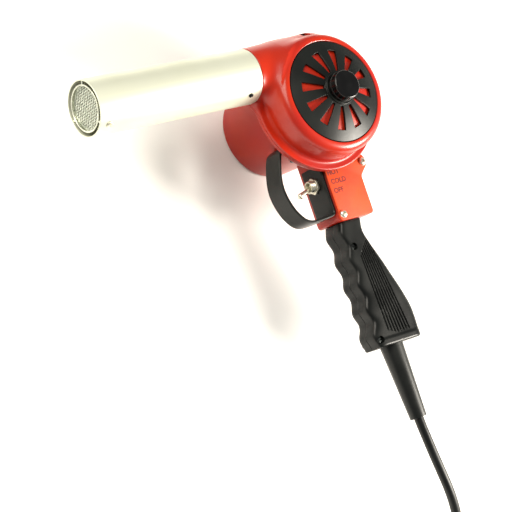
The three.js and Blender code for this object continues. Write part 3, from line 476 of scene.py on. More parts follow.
def housing_half(outside, inside, upper):
    """One casting as an outline and its surfaces: the turned shell, its half of the neck, and its half
    of the spigot and the bore. Each is first laid on its own surface and then flowed."""
    outside, inside = np.asarray(outside, float), np.asarray(inside, float)
    step = np.linalg.norm(np.diff(outside, axis=0), axis=1)
    cuts = [np.linspace(p, q, max(2, int(n / SHELL_STEP) + 1), endpoint=False)
            for p, q, n in zip(outside[:-1], outside[1:], step)]
    outer = np.vstack(cuts + [outside[-1:]])
    slope = unit(np.gradient(outer, axis=0) + 1e-12)
    a = np.linspace(0, 2 * np.pi, SHELL_COLUMNS, endpoint=False)
    spoke = np.stack([np.cos(a), np.sin(a), 0 * a], axis=-1)
    ring = outer[:, :1, None] * spoke + outer[:, 1:, None] * np.array([0, 0, 1.0])
    way = slope[:, 1, None, None] * spoke - slope[:, 0, None, None] * np.array([0, 0, 1.0])
    rim = np.where(outer[:, 0] > RIM_RADIUS + 0.05, 1.0, 0.0) if upper else np.clip(outer[:, 1] / 20, 0, 1)
    edge = SPLIT_Z + SPLIT_HALF if upper else SPLIT_Z - SPLIT_HALF
    free = (rim * (np.abs(outer[:, 1] - edge) > 0.01))[:, None] * np.ones(len(a))
    outline = np.vstack([[(0, outside[0, 1])], outside, [(0, outside[-1, 1])]])
    shell, _ = flowed(ring, way, outline, True, free)
    hoop = inside[:, :1, None] * spoke + inside[:, 1:, None] * np.array([0, 0, 1.0])
    body = grid(np.concatenate([shell, hoop, shell[:1]]), closed=True)

    x = np.concatenate([np.linspace(-67.2, -50, 40), np.linspace(-49.3, NECK_BACK + 27, 110)])
    radius = neck_radius(x)
    angle = half_round(radius, edge, upper)
    p = np.stack([np.broadcast_to(x, angle.shape), neck_y(x) + radius * np.cos(angle),
                  BARREL_AXIS[1] + radius * np.sin(angle)], axis=-1)
    way = np.stack([0 * angle, np.cos(angle), np.sin(angle)], axis=-1)
    free = np.clip((x + 66) / 8, 0, 1) * np.ones_like(angle)
    neck, depth = flowed(p, way, outline, False, free)
    neck[..., 2] = np.maximum(neck[..., 2], edge) if upper else np.minimum(neck[..., 2], edge)
    if upper:
        neck = counterbored(neck)
    hidden = (depth < -2.6).ravel()
    flat, faces = grid(neck)
    faces = [f for f in faces if not hidden[f].all()]
    spigot = np.array([(-44, 21.4), (-84.8, 21.4), (-84.8, 23.9), (-67.5, 23.9), (-67.5, 25.3),
                       (-67.2, NECK_SMALL)])
    angle = half_round(spigot[:, 1], edge, upper)
    tube = np.stack([np.broadcast_to(spigot[:, 0], angle.shape),
                     BARREL_AXIS[0] + spigot[:, 1] * np.cos(angle),
                     BARREL_AXIS[1] + spigot[:, 1] * np.sin(angle)], axis=-1)
    return outline, (body, (flat, faces), grid(tube))


# Half profiles as (radius, height), from the split face up over the drum, and from the base up the can.
OVER, UNDER = SPLIT_Z + SPLIT_HALF, SPLIT_Z - SPLIT_HALF
SHOULDER_RADIUS, SHOULDER_Z = 8.2, 113.5
shoulder = np.linspace(0, np.pi / 2, 12)
drum_outside = np.vstack([
    [(54.3, OVER), (FLANGE_RADIUS - 0.2, OVER), (FLANGE_RADIUS, OVER + 0.2), (FLANGE_RADIUS, 90.3),
     (65.3, 90.8), (64.8, 91), (60.4, 91), (58.9, 91.5), (57.9, 92.7), (57.5, 94.5)],
    np.stack([RIM_RADIUS + SHOULDER_RADIUS * np.cos(shoulder),
              SHOULDER_Z + SHOULDER_RADIUS * np.sin(shoulder)], axis=-1),
    [(48.95, 121.5), (48.9, 118.9)]])
drum_inside = [(48.9, 115.6), (54.3, 112), (54.3, OVER)]
can_outside = [(0, 0), (42.6, 0), (44.2, 0.4), (45.3, 1.4), (45.8, 3), (50.1, 80), (50.6, 81.8),
               (51.6, 83.2), (53.2, 84), (55, 84.1), (64.7, 84.1), (65.3, 84.4), (FLANGE_RADIUS, 85),
               (FLANGE_RADIUS, UNDER - 0.2), (FLANGE_RADIUS - 0.2, UNDER), (47.2, UNDER)]
can_inside = [(47.2, 80), (45.2, 80), (41.5, 4.5), (0, 4.5)]

SLOTS, SLOT_PHASE = 12, np.radians(16)
SLOT_IN, SLOT_OUT = 17.0, 38.4
SLOT_NARROW, SLOT_WIDE = 1.4, 4.5    # half widths at the slot's inner and outer end
DOME_RADIUS, DOME_RISE = 48.3, 10.0
INLET_THICK = 3.2


def dome(r):
    """Rise of the dished plates above their rim: 10 mm times 1 less the square of r / 48.3."""
    return DOME_RISE * (1 - (r / DOME_RADIUS) ** 2)


def slotted(radii, top, bottom, turn):
    """A dished disc with 12 wedge slots, 17 to 38.4 mm out and 2.8 to 9 mm wide. Its columns follow the
    slots' sides, cells in a slot are left out, and a wall stands wherever a solid cell has an open one
    beside it."""
    radii = np.asarray(radii, float)
    half = SLOT_NARROW + (SLOT_WIDE - SLOT_NARROW) * np.clip((radii - SLOT_IN) / (SLOT_OUT - SLOT_IN), 0, 1)
    slot = np.arcsin(half / np.clip(radii, SLOT_IN, SLOT_OUT))[:, None]
    part = np.linspace(0, 1, 7)[:-1]
    sector = np.pi / SLOTS
    angle = np.hstack([-sector + part * (sector - slot), -slot + part * 2 * slot,
                       slot + part * (sector - slot)])
    every = np.arange(SLOTS) * 2 * sector + SLOT_PHASE + turn
    angle = (every[None, :, None] + angle[:, None, :]).reshape(len(radii), -1)
    plane = radii[:, None, None] * np.stack([np.cos(angle), np.sin(angle)], axis=-1)
    layers = [np.concatenate([plane, np.broadcast_to(h[:, None, None], plane.shape[:2] + (1,))], axis=-1)
              for h in (np.asarray(top, float), np.asarray(bottom, float))]
    in_ring = (radii[:-1] > SLOT_IN - 0.01) & (radii[1:] < SLOT_OUT + 0.01)
    in_cut = np.tile(np.repeat([False, True, False], len(part)), SLOTS)
    solid = ~(in_ring[:, None] & in_cut[None])
    rows, columns = solid.shape
    index = np.arange((rows + 1) * columns).reshape(rows + 1, columns)
    a, b = index[:-1], np.roll(index, -1, 1)[:-1]
    d, c = index[1:], np.roll(index, -1, 1)[1:]
    under = index.size
    edge_rows = np.zeros((1, columns), bool)
    beside = {(0, 1): np.vstack([edge_rows, solid[:-1]]), (1, 2): np.roll(solid, -1, 1),
              (2, 3): np.vstack([solid[1:], edge_rows]), (3, 0): np.roll(solid, 1, 1)}
    corners = np.stack([a, b, c, d], axis=-1)
    faces = [corners[solid], corners[solid][:, ::-1] + under]
    for (i, j), neighbour in beside.items():
        wall = corners[solid & ~neighbour]
        faces.append(np.stack([wall[:, j], wall[:, i], wall[:, i] + under, wall[:, j] + under], axis=-1))
    return np.concatenate(layers).reshape(-1, 3), np.vstack(faces).tolist()


# Rings of points across the slots, closer together at each end.
SLOT_RINGS = np.concatenate([[SLOT_IN, 17.25, 18.2], np.linspace(20, 36, 14), [37.4, 38.1, SLOT_OUT]])
inlet_radii = np.concatenate([[2.8, 9, 14, 16.2], SLOT_RINGS, [40, 42, 44, 46, 48.92]])
inlet_top = 118.7 + dome(np.maximum(inlet_radii, 16.2))
inlet = slotted(inlet_radii, inlet_top, inlet_top - INLET_THICK, np.pi / SLOTS)
drum_outline, drum_parts = housing_half(drum_outside, drum_inside, True)
can_outline, can_parts = housing_half(can_outside, can_inside, False)
faired(piece("fan_housing_casting", joined(*drum_parts, inlet), enamel, "fan_housing",
             crease=32), drum_outline)
faired(piece("motor_housing_casting", joined(*can_parts), enamel, "motor_housing",
             crease=32), can_outline)


def screw_head(centre, axis, radius, height, slot_half, slot_deep, angle=0.0, crown=0.35):
    """A round head with a cut slot. Columns x stand at set places and y = v * sqrt(R^2 - x^2), so the
    slot's walls are straight. Height falls by crown * (r / R)^4 of the height towards the rim."""
    x = radius * np.concatenate([-np.cos(np.linspace(0, 1.45, 9)), [0]])
    lips = np.array([-slot_half, slot_half, -slot_half - 0.06, slot_half + 0.06])
    x = np.unique(np.round(np.concatenate([x, -x, lips]), 4))
    v = np.linspace(-1, 1, 25)
    v = np.sign(v) * (1 - (1 - np.abs(v)) ** 1.6)
    px, py = np.broadcast_to(x, (25, len(x))), v[:, None] * np.sqrt(np.maximum(radius**2 - x**2, 0))
    r = np.hypot(px, py) / radius
    top = height * (1 - crown * r**4) - slot_deep * (np.abs(px) <= slot_half + 1e-6)
    axis = unit(np.array(axis, float))
    across = unit(np.cross((0, 0, 1) if abs(axis[2]) < 0.9 else (0, 1, 0), axis))
    beside = np.cross(axis, across)
    across, beside = (np.cos(angle) * across + np.sin(angle) * beside,
                      np.cos(angle) * beside - np.sin(angle) * across)
    lower = np.asarray(centre, float) + px[..., None] * across + py[..., None] * beside
    upper = lower + top[..., None] * axis
    return joined(grid(upper), grid(lower), grid(np.stack([upper[0], lower[0]])),
                  grid(np.stack([upper[-1], lower[-1]])))


def shank(centre, axis, radius, length):
    """A plain round shank that goes back from the head by its length."""
    return turned([(0, 0), (radius, 0), (radius, -length), (0, -length)], centre, axis, 16)


HEAD, SCREW_SHANK, BOLT_CIRCLE = 3.8, 2.0, 61.4
piece("housing_screw_top", joined(screw_head((*TOP_SCREW, 98.3), (0, 0, 1), HEAD, 3.1, 0.5, 1.4, 0.6),
                                  shank((*TOP_SCREW, 98.4), (0, 0, 1), SCREW_SHANK, 18)),
      black_oxide, "housing_screw_1")
for number, degrees in ((2, 10), (3, 228)):
    x, y = BOLT_CIRCLE * np.cos(np.radians(degrees)), BOLT_CIRCLE * np.sin(np.radians(degrees))
    piece(f"housing_screw_flange_{number}",
          joined(screw_head((x, y, 83.8), (0, 0, -1), HEAD, 2.8, 0.5, 1.2, 0.4 * number),
                 shank((x, y, 83.7), (0, 0, -1), SCREW_SHANK, 6)),
          black_oxide, f"housing_screw_{number}")


# ---- Air intake: shutter, knob and stud ---------------------------------------------------------
# A pressed steel shutter in satin black paint turns over the slotted inlet, on a stud through its
# middle. A moulded phenolic knob, pressed on the hub, turns it.

# Satin black paint over steel, with dust-fine texture and a green-grey sheen.
satin_black = finish("satin_black_paint", ("#070a08", "#0c100d"), (0.34, 0.42), 30, 0.9, 0.03,
                     Specular_IOR_Level=0.34)
# Compression-moulded phenolic: jet black and glossy.
phenolic = finish("black_phenolic", ("#030303", "#060606"), (0.14, 0.22), 12, 0.9, 0.015,
                  Specular_IOR_Level=0.4)
plate_radii = np.concatenate([[2.8, 8, 12, 15.55, 15.6, 16.3], SLOT_RINGS, [40, 42.5, 45, 47.4, 48.0, 48.3]])
plate_bottom = 119.1 + dome(plate_radii)
plate_top = np.where(plate_radii < 15.58, 132.3, 121.7 + dome(plate_radii) - 0.5 * (plate_radii > 48.2))
shutter = piece("intake_shutter_plate", slotted(plate_radii, plate_top, np.minimum(plate_bottom, 129.1), 0.0),
                satin_black, "intake_shutter", "shutter", crease=40)
soft_edge = shutter.modifiers.new("rolled_edge", "BEVEL")
soft_edge.width, soft_edge.segments, soft_edge.limit_method = 0.35 * MM, 2, "ANGLE"
soft_edge.angle_limit = np.radians(50)
knob_profile = eased([(0, 132.6), (14, 132.6), (14, 135.4), (13.6, 136.0), (13.5, 143), (0, 142.7)],
                     (0, 0.4, 0.3, 0.3, 1.9, 0), 6, closed=False)
piece("shutter_knob_moulding", turned(knob_profile, segments=128), phenolic,
      "shutter_knob", "shutter")


# ---- Barrel, nozzle ring and screen -------------------------------------------------------------
# A two-inch tube of satin stainless steel, slipped over the neck's spigot and held by two screws. A
# turned inner ring on three tabs stands in its mouth, with a woven wire screen behind it.

MOUTH, BARREL_BACK = -244.4, -68.1
BORE, TUBE = 24.2, 25.4              # inner and outer radius of the tube
BARREL_LINE = (0, *BARREL_AXIS)

# Satin stainless: fine rings of polish round the tube, pale and only half mirror-like.
stainless = finish("satin_stainless_steel", ("#e3e6d3", "#d9dcc8"), (0.44, 0.52), 60, 0.5, 0.01,
                   stretch=(1, 0.06, 0.06), Metallic=0.6)
# Plain turned steel of the ring: brighter, with closer tool marks.
bright_ring = finish("turned_steel", ("#d8dacb", "#b9bcae"), (0.2, 0.32), 10, 0.3, 0.01, Metallic=1.0)
# Woven wire, dulled by heat.
wire_finish = finish("heat_dulled_wire", ("#dfe4d6", "#c3cabb"), (0.3, 0.45), 4, 0.3, 0.01, Metallic=0.8)


def along_barrel(profile, segments=160):
    """A profile of (radius, x) turned about the barrel's axis."""
    p = np.asarray(profile, float)
    return turned(np.stack([p[:, 0], -p[:, 1]], axis=-1), BARREL_LINE, (-1, 0, 0), segments)


barrel_wall = eased([(BORE, BARREL_BACK), (TUBE, BARREL_BACK), (TUBE, MOUTH), (BORE, MOUTH)], 0.4, 3)
piece("barrel_tube", along_barrel(loop(barrel_wall), 256), stainless, "barrel")


def on_barrel(x, radius, degrees):
    """A point at a radius and an angle round the barrel's axis."""
    a = np.radians(degrees)
    return np.array([x, BARREL_AXIS[0] + radius * np.cos(a), BARREL_AXIS[1] + radius * np.sin(a)])


# The rear screw has the smaller head and the dark blackened finish; the front one is zinc plated.
for where, x, size in (("front", -234.0, 2.9), ("rear", -80.0, 2.2)):
    seat = on_barrel(x, TUBE + 0.1, 145)
    outward = seat - (x, *BARREL_AXIS)
    piece(f"barrel_screw_{where}_head",
          joined(screw_head(seat, outward, size, 1.3, 0.45, 0.8, 0.3), shank(seat, outward, 1.4, 2.6)),
          zinc if where == "front" else black_oxide, f"barrel_screw_{where}")

ring_profile = eased([(19.5, -231.4), (20.5, -231.4), (20.5, -241.6), (21.1, -242.2), (21.1, -243.8),
                      (19.5, -243.8)], 0.35, 3)
tab_parts = []
for degrees in (20, 140, 260):
    outward = unit(on_barrel(0, 1, degrees) - (0, *BARREL_AXIS))
    tab_parts.append(turned([(0, 20.3), (1.3, 20.3), (1.3, 23.9), (0, 23.9)],
                            (MOUTH + 2, *BARREL_AXIS), outward, 16))
piece("nozzle_ring_turned", joined(along_barrel(loop(ring_profile)), *tab_parts), bright_ring,
      "nozzle_ring")


def woven(radius, pitch, wire, swing, level):
    """Two sets of round wires. A wire at c runs over s from -w to w, with w = sqrt(R^2 - c^2), and rises
    and falls as swing * sin(pi s / pitch), each one half a turn after its neighbour."""
    places = (np.arange(int(2 * radius / pitch)) - int(2 * radius / pitch) / 2 + 0.5) * pitch
    s = np.linspace(-1, 1, 57)[None] * np.sqrt(radius**2 - places**2)[:, None]
    phase = np.pi * np.arange(len(places))[:, None]
    sides = np.linspace(0, 2 * np.pi, 6, endpoint=False)
    parts = []
    for crossing in (0, 1):
        wave = swing * np.sin(np.pi * s / pitch + phase + np.pi * crossing + np.pi / 2)
        side = places[:, None, None] + wire * np.cos(sides)
        lift = wave[..., None] + wire * np.sin(sides)
        run = np.broadcast_to(s[..., None], lift.shape)
        side = np.broadcast_to(side, lift.shape)
        y, z = (run, side) if crossing else (side, run)
        points = np.stack([level + lift, BARREL_AXIS[0] + y, BARREL_AXIS[1] + z], axis=-1)
        parts += [capped(one) for one in points]
    return joined(*parts)


screen_edge = eased([(18.9, -239.9), (19.5, -239.9), (19.5, -241.1), (18.9, -241.1)], 0.25, 2)
piece("nozzle_wire_screen", joined(woven(19.3, 2.2, 0.36, 0.34, -240.5), along_barrel(loop(screen_edge), 96)),
      wire_finish, "nozzle_screen", crease=60)


# ---- Switch box, cover and legend ---------------------------------------------------------------
# A cast box in the same enamel stands under the flange. A steel cover in orange-red wrinkle paint is
# screwed on it at a corner and at an ear, with the switch's positions printed beside the lever.

BOX_LEFT, BOX_RIGHT, BOX_END = -8.0, 32.4, -112.3
BOX_LOW, BOX_HIGH, BOX_ROUND = 42.7, 78.8, 46.5
COVER_LOW, COVER_HIGH = 79.0, 81.0
COVER_SCREWS = [(38.1, -63.1), (-3.4, -106.6)]
LETTER_HEIGHT = 5.0

# Wrinkle paint: stoved so that it shrivels into ridges about 0.8 mm apart.
wrinkle = finish("orange_red_wrinkle_paint", ("#cf420f", "#c4380d"), (0.45, 0.58), 18, 0.8, 0.12, detail=1.0,
                 Specular_IOR_Level=0.35)
# Printing ink, a flat dark red.
ink = finish("dark_red_printing_ink", ("#5c0a08", "#6b0f0b"), (0.5, 0.6), 5, 0.6, 0.01)


def slab(outline, low, high, edge, axes=((1, 0, 0), (0, 1, 0), (0, 0, 1)), steps=3):
    """A plate with rolled edges: the outline is shrunk by e (1 - sin t) at e (1 - cos t) from each face,
    t from 0 to a right angle. axes give the outline's two directions and the plate's own."""
    p = np.asarray(outline, float)
    chord = np.roll(p, -1, 0) - np.roll(p, 1, 0)
    turn = np.sign((p[:, 0] * np.roll(p[:, 1], -1) - p[:, 1] * np.roll(p[:, 0], -1)).sum())
    normal = unit(np.stack([chord[:, 1], -chord[:, 0]], axis=-1)) * turn
    t = np.linspace(0, np.pi / 2, steps + 1)
    inset, climb = edge * (1 - np.sin(t)), edge * (1 - np.cos(t))
    inset, level = np.concatenate([inset, inset[::-1]]), np.concatenate([low + climb, high - climb[::-1]])
    rings = p[None] - inset[:, None, None] * normal[None]
    u, v, w = (np.array(axis, float) for axis in axes)
    return capped(rings[..., :1] * u + rings[..., 1:] * v + level[:, None, None] * w)


sweep = np.linspace(np.arccos(BOX_RIGHT / BOX_ROUND), np.arccos(BOX_LEFT / BOX_ROUND), 16)
box_top = np.stack([BOX_ROUND * np.cos(sweep), -BOX_ROUND * np.sin(sweep)], axis=-1)
box_foot = eased([(BOX_LEFT, -60), (BOX_LEFT, BOX_END), (BOX_RIGHT, BOX_END), (BOX_RIGHT, -60)],
                 (0, 4, 4, 0), 5, closed=False)
box_outline = np.vstack([box_foot, box_top])
ear_outline = eased([(28, -76), (34, -74), (43, -66), (43, -60), (40, -56), (28, -52)], (0, 2, 3, 3, 3, 0), 4)
spigot_outline = eased([(-2, -125.3), (18, -125.3), (18, -108), (-2, -108)], 2)
piece("switch_box_casting",
      joined(slab(box_outline, BOX_LOW, BOX_HIGH, 1.6), slab(ear_outline, 72, BOX_HIGH, 1.0),
             slab(spigot_outline, 53, 71, 1.0)), enamel, "switch_box")
cover_outline = eased([(BOX_LEFT, BOX_END), (BOX_RIGHT, BOX_END), (BOX_RIGHT, -76), (34.6, -73.6), (43, -66),
                       (43, -60), (40, -55.5), (34, -52), (BOX_LEFT, -52)],
                      (3, 4, 2, 2, 3, 3, 2, 0.5, 0.5), 5)
piece("switch_cover_plate", slab(cover_outline, COVER_LOW, COVER_HIGH, 0.6), wrinkle,
      "switch_cover")
for number, (x, y) in enumerate(COVER_SCREWS, 1):
    cup = turned([(0, COVER_HIGH), (3.9, COVER_HIGH), (3.9, 81.5), (3.4, 82.6), (2.3, 83.5), (1.35, 83.6),
                  (1.35, 82.2), (0, 82.2)], (x, y, 0), segments=48)
    piece(f"cover_screw_{number}_head", joined(cup, shank((x, y, 81.2), (0, 0, 1), 1.5, 9.7)), zinc,
          f"cover_screw_{number}", crease=50)


def printed(word, left, middle):
    """A word as a flat mesh, read along +X on the cover, its letters' middle at the given place."""
    text = bpy.data.curves.new("word", "FONT")
    text.body, text.size, text.extrude, text.resolution_u = word, 1.0, 0.012, 3
    text.offset = 0.03
    holder = bpy.data.objects.new("word", text)
    bpy.context.collection.objects.link(holder)
    bpy.context.view_layer.update()
    drawn = bpy.data.meshes.new_from_object(holder.evaluated_get(bpy.context.evaluated_depsgraph_get()))
    flat = np.empty(len(drawn.vertices) * 3)
    drawn.vertices.foreach_get("co", flat)
    flat = flat.reshape(-1, 3)
    faces = [list(polygon.vertices) for polygon in drawn.polygons]
    bpy.data.objects.remove(holder)
    bpy.data.curves.remove(text)
    bpy.data.meshes.remove(drawn)
    scale = LETTER_HEIGHT / np.ptp(flat[:, 1])
    low = flat.min(0)
    centred = flat - (low[0], low[1] + np.ptp(flat[:, 1]) / 2, 0)
    return centred * scale + (left, middle, COVER_HIGH + 0.02), faces


piece("switch_legend", joined(printed("HOT", -6.0, -66.0), printed("COLD", -5.0, -74.6),
                              printed("OFF", -5.0, -83.6)), ink)


# ---- Toggle switch and finger guard -------------------------------------------------------------
# A toggle switch comes out through the side of the box, held by a hexagon nut over a black steel
# plate. A steel strap is bent from the housing round the fingers, and up under that plate as its foot.

PIVOT = np.array([-16.0, -73.0, 65.5])
LEVER_AXIS = (-np.cos(np.radians(20)), -np.sin(np.radians(20)), 0)
SIDEWAYS = ((0, 1, 0), (0, 0, 1), (-1, 0, 0))
NUT_CORNER, BUSHING, LEVER_BALL = 8.25, 5.9, 3.1     # radii
GUARD_Z, GUARD_HALF_THICK, GUARD_HALF_WIDE = 67.0, 1.3, 11.5

side_plate = eased([(-103.3, 52), (-56.5, 52), (-56.5, 79.8), (-103.3, 79.8)], 2.2, 5)
piece("switch_side_plate", slab(side_plate, 11.2, 12.7, 0.4, SIDEWAYS), satin_black,
      "switch_plate")
hexagon = np.arange(6) * np.pi / 3
nut_corners = PIVOT[1:] + NUT_CORNER * np.stack([np.cos(hexagon), np.sin(hexagon)], axis=-1)
nut_outline = eased(nut_corners, 0.8, 3)
piece("toggle_hexagon_nut", slab(nut_outline, 13, 15.6, 0.45, SIDEWAYS), zinc, "toggle_nut")
thread = np.arange(15.6, 20.2, 0.45)
bushing = np.vstack([[(0, 5), (BUSHING, 5), (BUSHING, 15.4)],
                     np.stack([BUSHING - 0.35 * (np.arange(len(thread)) % 2), thread], axis=-1),
                     [(5.3, 20.6), (4.4, 20.6), (3.8, 18), (3.8, 11), (0, 11)]])
piece("toggle_threaded_bushing", turned(bushing, (0, PIVOT[1], PIVOT[2]), (-1, 0, 0), 64), zinc,
      "toggle_bushing", crease=25)
ball = np.linspace(-np.pi / 2, 0.95, 10)
tip = np.linspace(0.1, np.pi / 2, 9)
bat = np.vstack([np.stack([LEVER_BALL * np.cos(ball), LEVER_BALL * np.sin(ball)], axis=-1),
                 [(1.9, 3.4), (2.1, 8), (2.5, 13)],
                 np.stack([2.9 * np.cos(tip) ** 0.6, 17.4 + 2.4 * np.sin(tip)], axis=-1)])
piece("toggle_bat_lever", turned(bat, PIVOT, LEVER_AXIS, 48), zinc, "toggle_lever", "lever",
      crease=60)

strap_points = smooth_path([
    (-34.5, -31.6), (-37.9, -32.4), (-47.2, -36.6), (-53.9, -50.9), (-57.6, -64.6), (-57.5, -76.9),
    (-53.8, -90.0), (-48.8, -98.5), (-43.8, -103.5), (-37.6, -105.9), (-30, -106.1), (-20, -105.4),
    (-13.6, -104.6), (-10.6, -102.9), (-9.6, -99.5), (-9.6, -90), (-9.6, -75), (-9.6, -58)], 10)
guard_path = np.hstack([strap_points, np.full((len(strap_points), 1), GUARD_Z)])
guard_section = eased([(-GUARD_HALF_THICK, -GUARD_HALF_WIDE), (GUARD_HALF_THICK, -GUARD_HALF_WIDE),
                       (GUARD_HALF_THICK, GUARD_HALF_WIDE), (-GUARD_HALF_THICK, GUARD_HALF_WIDE)], 0.7, 4)
piece("finger_guard_strap", carried(guard_path, guard_section), satin_black, "finger_guard")


# ---- Grip ---------------------------------------------------------------------------------------
# Two moulded nylon halves screwed together round the box's spigot. The finger side is scalloped, each
# broad side has a panel of ribs that fans out to the foot, and each screw sits in a round recess.

GRIP_TOP, GRIP_END, GRIP_SPLIT = -112.6, -234.6, 62.0
GRIP_DEPTH = 14.0
GRIP_SCREWS = [(0.4, -137.6), (-4.8, -227.2)]
RECESS, RECESS_DEPTH = 3.6, 3.5
GROOVE_PITCH, GROOVE_SWING, GROOVE_PHASE = 24.6, 1.7, 148.0
PANEL_TOP, PANEL_FOOT = -140.0, -224.0
RIBS, RIB_DEPTH = 8, 1.3
BROAD_FACE = 8.0                     # depth past which a point is on the broad face
GRIP_ROWS, GRIP_COLUMNS = 170, 210

# Moulded nylon: black with a green cast, satin, with a fine moulded grain.
nylon = finish("moulded_black_nylon", ("#060807", "#0a0d0b"), (0.3, 0.4), 35, 0.8, 0.035,
               Specular_IOR_Level=0.3)


def smoothstep(t):
    """3 t^2 - 2 t^3, with t held between 0 and 1."""
    t = np.clip(t, 0, 1)
    return t * t * (3 - 2 * t)


def ribbed(x, y, z):
    """The depth z less the grooves between the ribs. q counts ribs across a panel whose sides spread
    downwards, each groove follows cos(2 pi q), and all fade over 1.5 mm at both ends."""
    down = np.clip((PANEL_TOP - y) / (PANEL_TOP - PANEL_FOOT), 0, 1)
    left, right = 3.0 + 2.4 * down, 20.8 + 12.6 * down
    q = (x - left) / (right - left) * RIBS
    start, stop = -147.5 + 2.4 * q, -220.5 - 4.5 * np.clip(q / 3, 0, 1)
    on_panel = (q > 0) * (q < RIBS) * (z > BROAD_FACE)
    panel = smoothstep((start - y) / 1.5) * smoothstep((y - stop) / 1.5) * on_panel
    return z - RIB_DEPTH * panel * smoothstep((0.5 - 0.5 * np.cos(2 * np.pi * q)) * 2.2 - 1.0)


def recessed(x, y, z):
    """The broad face with a round recess at each screw: points near a recess's rim move onto the rim,
    and points inside it drop to the floor."""
    for sx, sy in GRIP_SCREWS:
        gap = np.stack([x - sx, y - sy], axis=-1)
        far = np.linalg.norm(gap, axis=-1)
        near = (z > BROAD_FACE) & (np.abs(far - RECESS) < 0.5)
        x = np.where(near, sx + gap[..., 0] / np.maximum(far, 1e-6) * RECESS, x)
        y = np.where(near, sy + gap[..., 1] / np.maximum(far, 1e-6) * RECESS, y)
        z = np.where((z > BROAD_FACE) & (far <= RECESS - 0.5), GRIP_DEPTH - RECESS_DEPTH, z)
    return x, y, z


def grip_half(face):
    """One half of the grip. At each height y its section is |u|^n + |w|^n = 1 between the scalloped
    front x = -7.4 - 1.7 cos(2 pi (y + 148) / 24.6), which flares by 2.2 mm at the foot, and the curved
    back, with n = 7 on the finger side and 4 on the back, cut flat at the parting plane."""
    back = smooth_path([(21.8, -112.6), (19.8, -125), (23, -137), (28, -148.5), (34.2, -165), (41.4, -185),
                        (46.2, -201.5), (47.4, -215), (46.8, -234.6)], 16)
    ends = [0, 0.25, 0.8, 1.6]
    y = np.concatenate([GRIP_TOP - np.array(ends), np.linspace(GRIP_TOP - 2.4, GRIP_END + 2.4, GRIP_ROWS),
                        GRIP_END + np.array(ends[::-1])])
    foot = np.concatenate([[0.8, 0.35, 0.1, 0], np.zeros(GRIP_ROWS), [0, 0.15, 0.5, 1.2]])
    x_back = np.interp(-y, -back[:, 1], back[:, 0])
    scallop = GROOVE_SWING * np.cos(2 * np.pi * (y + GROOVE_PHASE) / GROOVE_PITCH)
    x_front = -7.4 - scallop - 2.2 * smoothstep((-y - 205) / 24)
    middle, wide = (x_front + x_back) / 2, (x_back - x_front) / 2 - foot
    lip = 0.5 * smoothstep((y + 226) / -3) * smoothstep((y - GRIP_END) / 1.5)
    deep = GRIP_DEPTH - foot + lip
    turn = np.concatenate([[0, 0.012], np.linspace(0.03, np.pi - 0.03, GRIP_COLUMNS),
                           [np.pi - 0.012, np.pi]])
    n = np.where(np.cos(turn) < 0, 7.0, 4.0)
    reach = (np.abs(np.cos(turn)) ** n + np.abs(np.sin(turn)) ** n) ** (-1 / n)
    shut = np.array([0.35, 0.1] + [0.0] * GRIP_COLUMNS + [0.1, 0.35])
    x = middle[:, None] + (wide[:, None] - shut) * reach * np.cos(turn)
    z = deep[:, None] * reach * np.sin(turn) + 0.15
    y = np.broadcast_to(y[:, None], x.shape).copy()
    x, y, z = recessed(x, y, ribbed(x, y, z))
    return capped(np.stack([x, y, GRIP_SPLIT + face * z], axis=-1))


piece("grip_front_half", grip_half(1), nylon, "handle_front", crease=30)
piece("grip_rear_half", grip_half(-1), nylon, "handle_rear", crease=30)
for number, (x, y) in enumerate(GRIP_SCREWS, 1):
    piece(f"grip_screw_{number}_head",
          joined(screw_head((x, y, 72.5), (0, 0, 1), 3.2, 1.7, 0.5, 0.9, 0.9 * number),
                 shank((x, y, 72.6), (0, 0, 1), 1.4, 18)),
          black_oxide, f"handle_screw_{number}")


# ---- Inside: heater, motor, fan and switch body -------------------------------------------------
# The working parts stand where the frame has them. Each kind of metal, winding and insulator has its
# own finish, seen through the intake, the screen and in cut-away views.

# Fired steatite: chalky cream, quite matt.
ceramic = finish("fired_steatite", ("#e6dfce", "#d8cfba"), (0.6, 0.75), 14, 0.6, 0.03)
# Pressed mica: brown flakes drawn out along the barrel, with a dull glint.
mica = finish("pressed_mica_sheet", ("#b9a786", "#9d8a68"), (0.35, 0.55), 6, 0.8, 0.02, stretch=(0.4, 1, 1))
# Resistance ribbon: grey-brown with scale from the heat.
resistance = finish("oxidised_resistance_ribbon", ("#5a544e", "#6e6258"), (0.4, 0.55), 6, 0.5, 0.02,
                    Metallic=1.0)
# Stacked iron laminations: dark grey, with fine lines across the motor's axis.
laminate = finish("laminated_iron", ("#5b5f60", "#6c6f6c"), (0.4, 0.55), 8, 0.5, 0.05,
                  stretch=(0.05, 0.05, 1), Metallic=1.0)
# Varnished copper wire: orange-brown and glossy, its strands along the motor's axis.
winding = finish("varnished_copper_winding", ("#a8552c", "#bb6a38"), (0.25, 0.4), 5, 0.6, 0.1,
                 stretch=(1, 1, 0.3), Metallic=0.9)
# Ground steel: bright, with almost no texture.
ground = finish("ground_bearing_steel", ("#d2d4d0", "#c2c5c2"), (0.15, 0.26), 8, 0.4, 0.005, Metallic=1.0)
# Bare cast aluminium: pale grey and uneven.
cast = finish("bare_cast_aluminium", ("#b9bdbe", "#a6aaab"), (0.42, 0.58), 12, 1.0, 0.05, Metallic=0.9)
# Drawn brass: warm yellow with a soft shine.
brass = finish("drawn_brass", ("#c6a152", "#b38e44"), (0.25, 0.38), 8, 0.4, 0.01, Metallic=1.0)
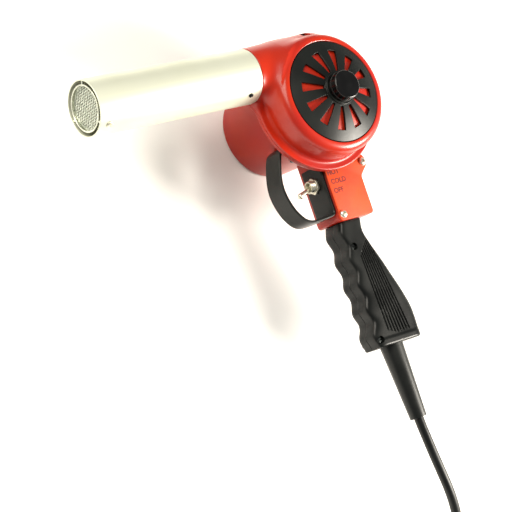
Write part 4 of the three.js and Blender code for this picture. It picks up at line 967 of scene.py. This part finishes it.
# Pressed carbon: charcoal grey and dusty.
graphite = finish("pressed_carbon", ("#28282a", "#343436"), (0.5, 0.7), 4, 0.4, 0.02)
coat(ceramic, "element_core", "element_base")
coat(resistance, "heating_coil")
coat(mica, "insulation_sleeve")
coat(laminate, "armature_core", "stator_core")
coat(winding, "winding_front", "winding_rear", "commutator", "field_coil_1", "field_coil_2")
coat(ground, "motor_shaft", "rear_bearing", "front_bearing", "fan_nut", "shutter_stud", "stator_screw_1",
     "stator_screw_2")
coat(cast, "fan_wheel", "motor_bracket")
coat(brass, "brush_holder_1", "brush_holder_2")
coat(graphite, "brush_1", "brush_2")
coat(phenolic, "switch_body")


# ---- Floor and light ----------------------------------------------------------------------------
# A plain pale floor under soft studio light: an even white surround, a broad softbox high behind the
# barrel, and a smaller one on the other side that puts the bright edges on the drum and the shutter.

FLOOR_REACH, FLOOR_Z = 4.0, -0.0002  # metres

# Matt card, just off white, with no texture to see at this distance.
paper = finish("pale_studio_floor", ("#f4f4f2", "#f7f7f5"), (0.85, 0.9), 400, 40, 0.05)
floor_mesh = bpy.data.meshes.new("floor")
reach = np.linspace(-FLOOR_REACH, FLOOR_REACH, 9)
floor_points, floor_faces = grid(np.stack([*np.meshgrid(reach, reach, indexing="ij"),
                                           np.full((9, 9), FLOOR_Z)], axis=-1))
floor_mesh.from_pydata(floor_points.tolist(), [], floor_faces)
floor_mesh.materials.append(paper)
floor = bpy.data.objects.new("floor", floor_mesh)
bpy.context.collection.objects.link(floor)

world = bpy.data.worlds.new("studio")
world.use_nodes = True
world.node_tree.nodes["Background"].inputs["Color"].default_value = linear("#ffffff")
world.node_tree.nodes["Background"].inputs["Strength"].default_value = 0.3
bpy.context.scene.world = world
bpy.context.scene.view_settings.view_transform = "Standard"


def softbox(name, place, target, width, height, watts, tint="#fff8ec"):
    """A rectangular area light at a place in metres, turned to face a target."""
    data = bpy.data.lights.new(name, "AREA")
    data.shape, data.size, data.size_y, data.energy = "RECTANGLE", width, height, watts
    data.color = linear(tint)[:3]
    lamp = bpy.data.objects.new(name, data)
    way = Vector(target) - Vector(place)
    lamp.matrix_world = Matrix.LocRotScale(Vector(place), way.to_track_quat("-Z", "Y"), None)
    bpy.context.collection.objects.link(lamp)


softbox("overhead", (-0.95, 0.8, 1.2), (-0.05, -0.05, 0.08), 1.2, 1.2, 34)
softbox("right_edge", (0.9, -0.72, 0.84), (0, -0.05, 0.1), 0.62, 0.55, 52)
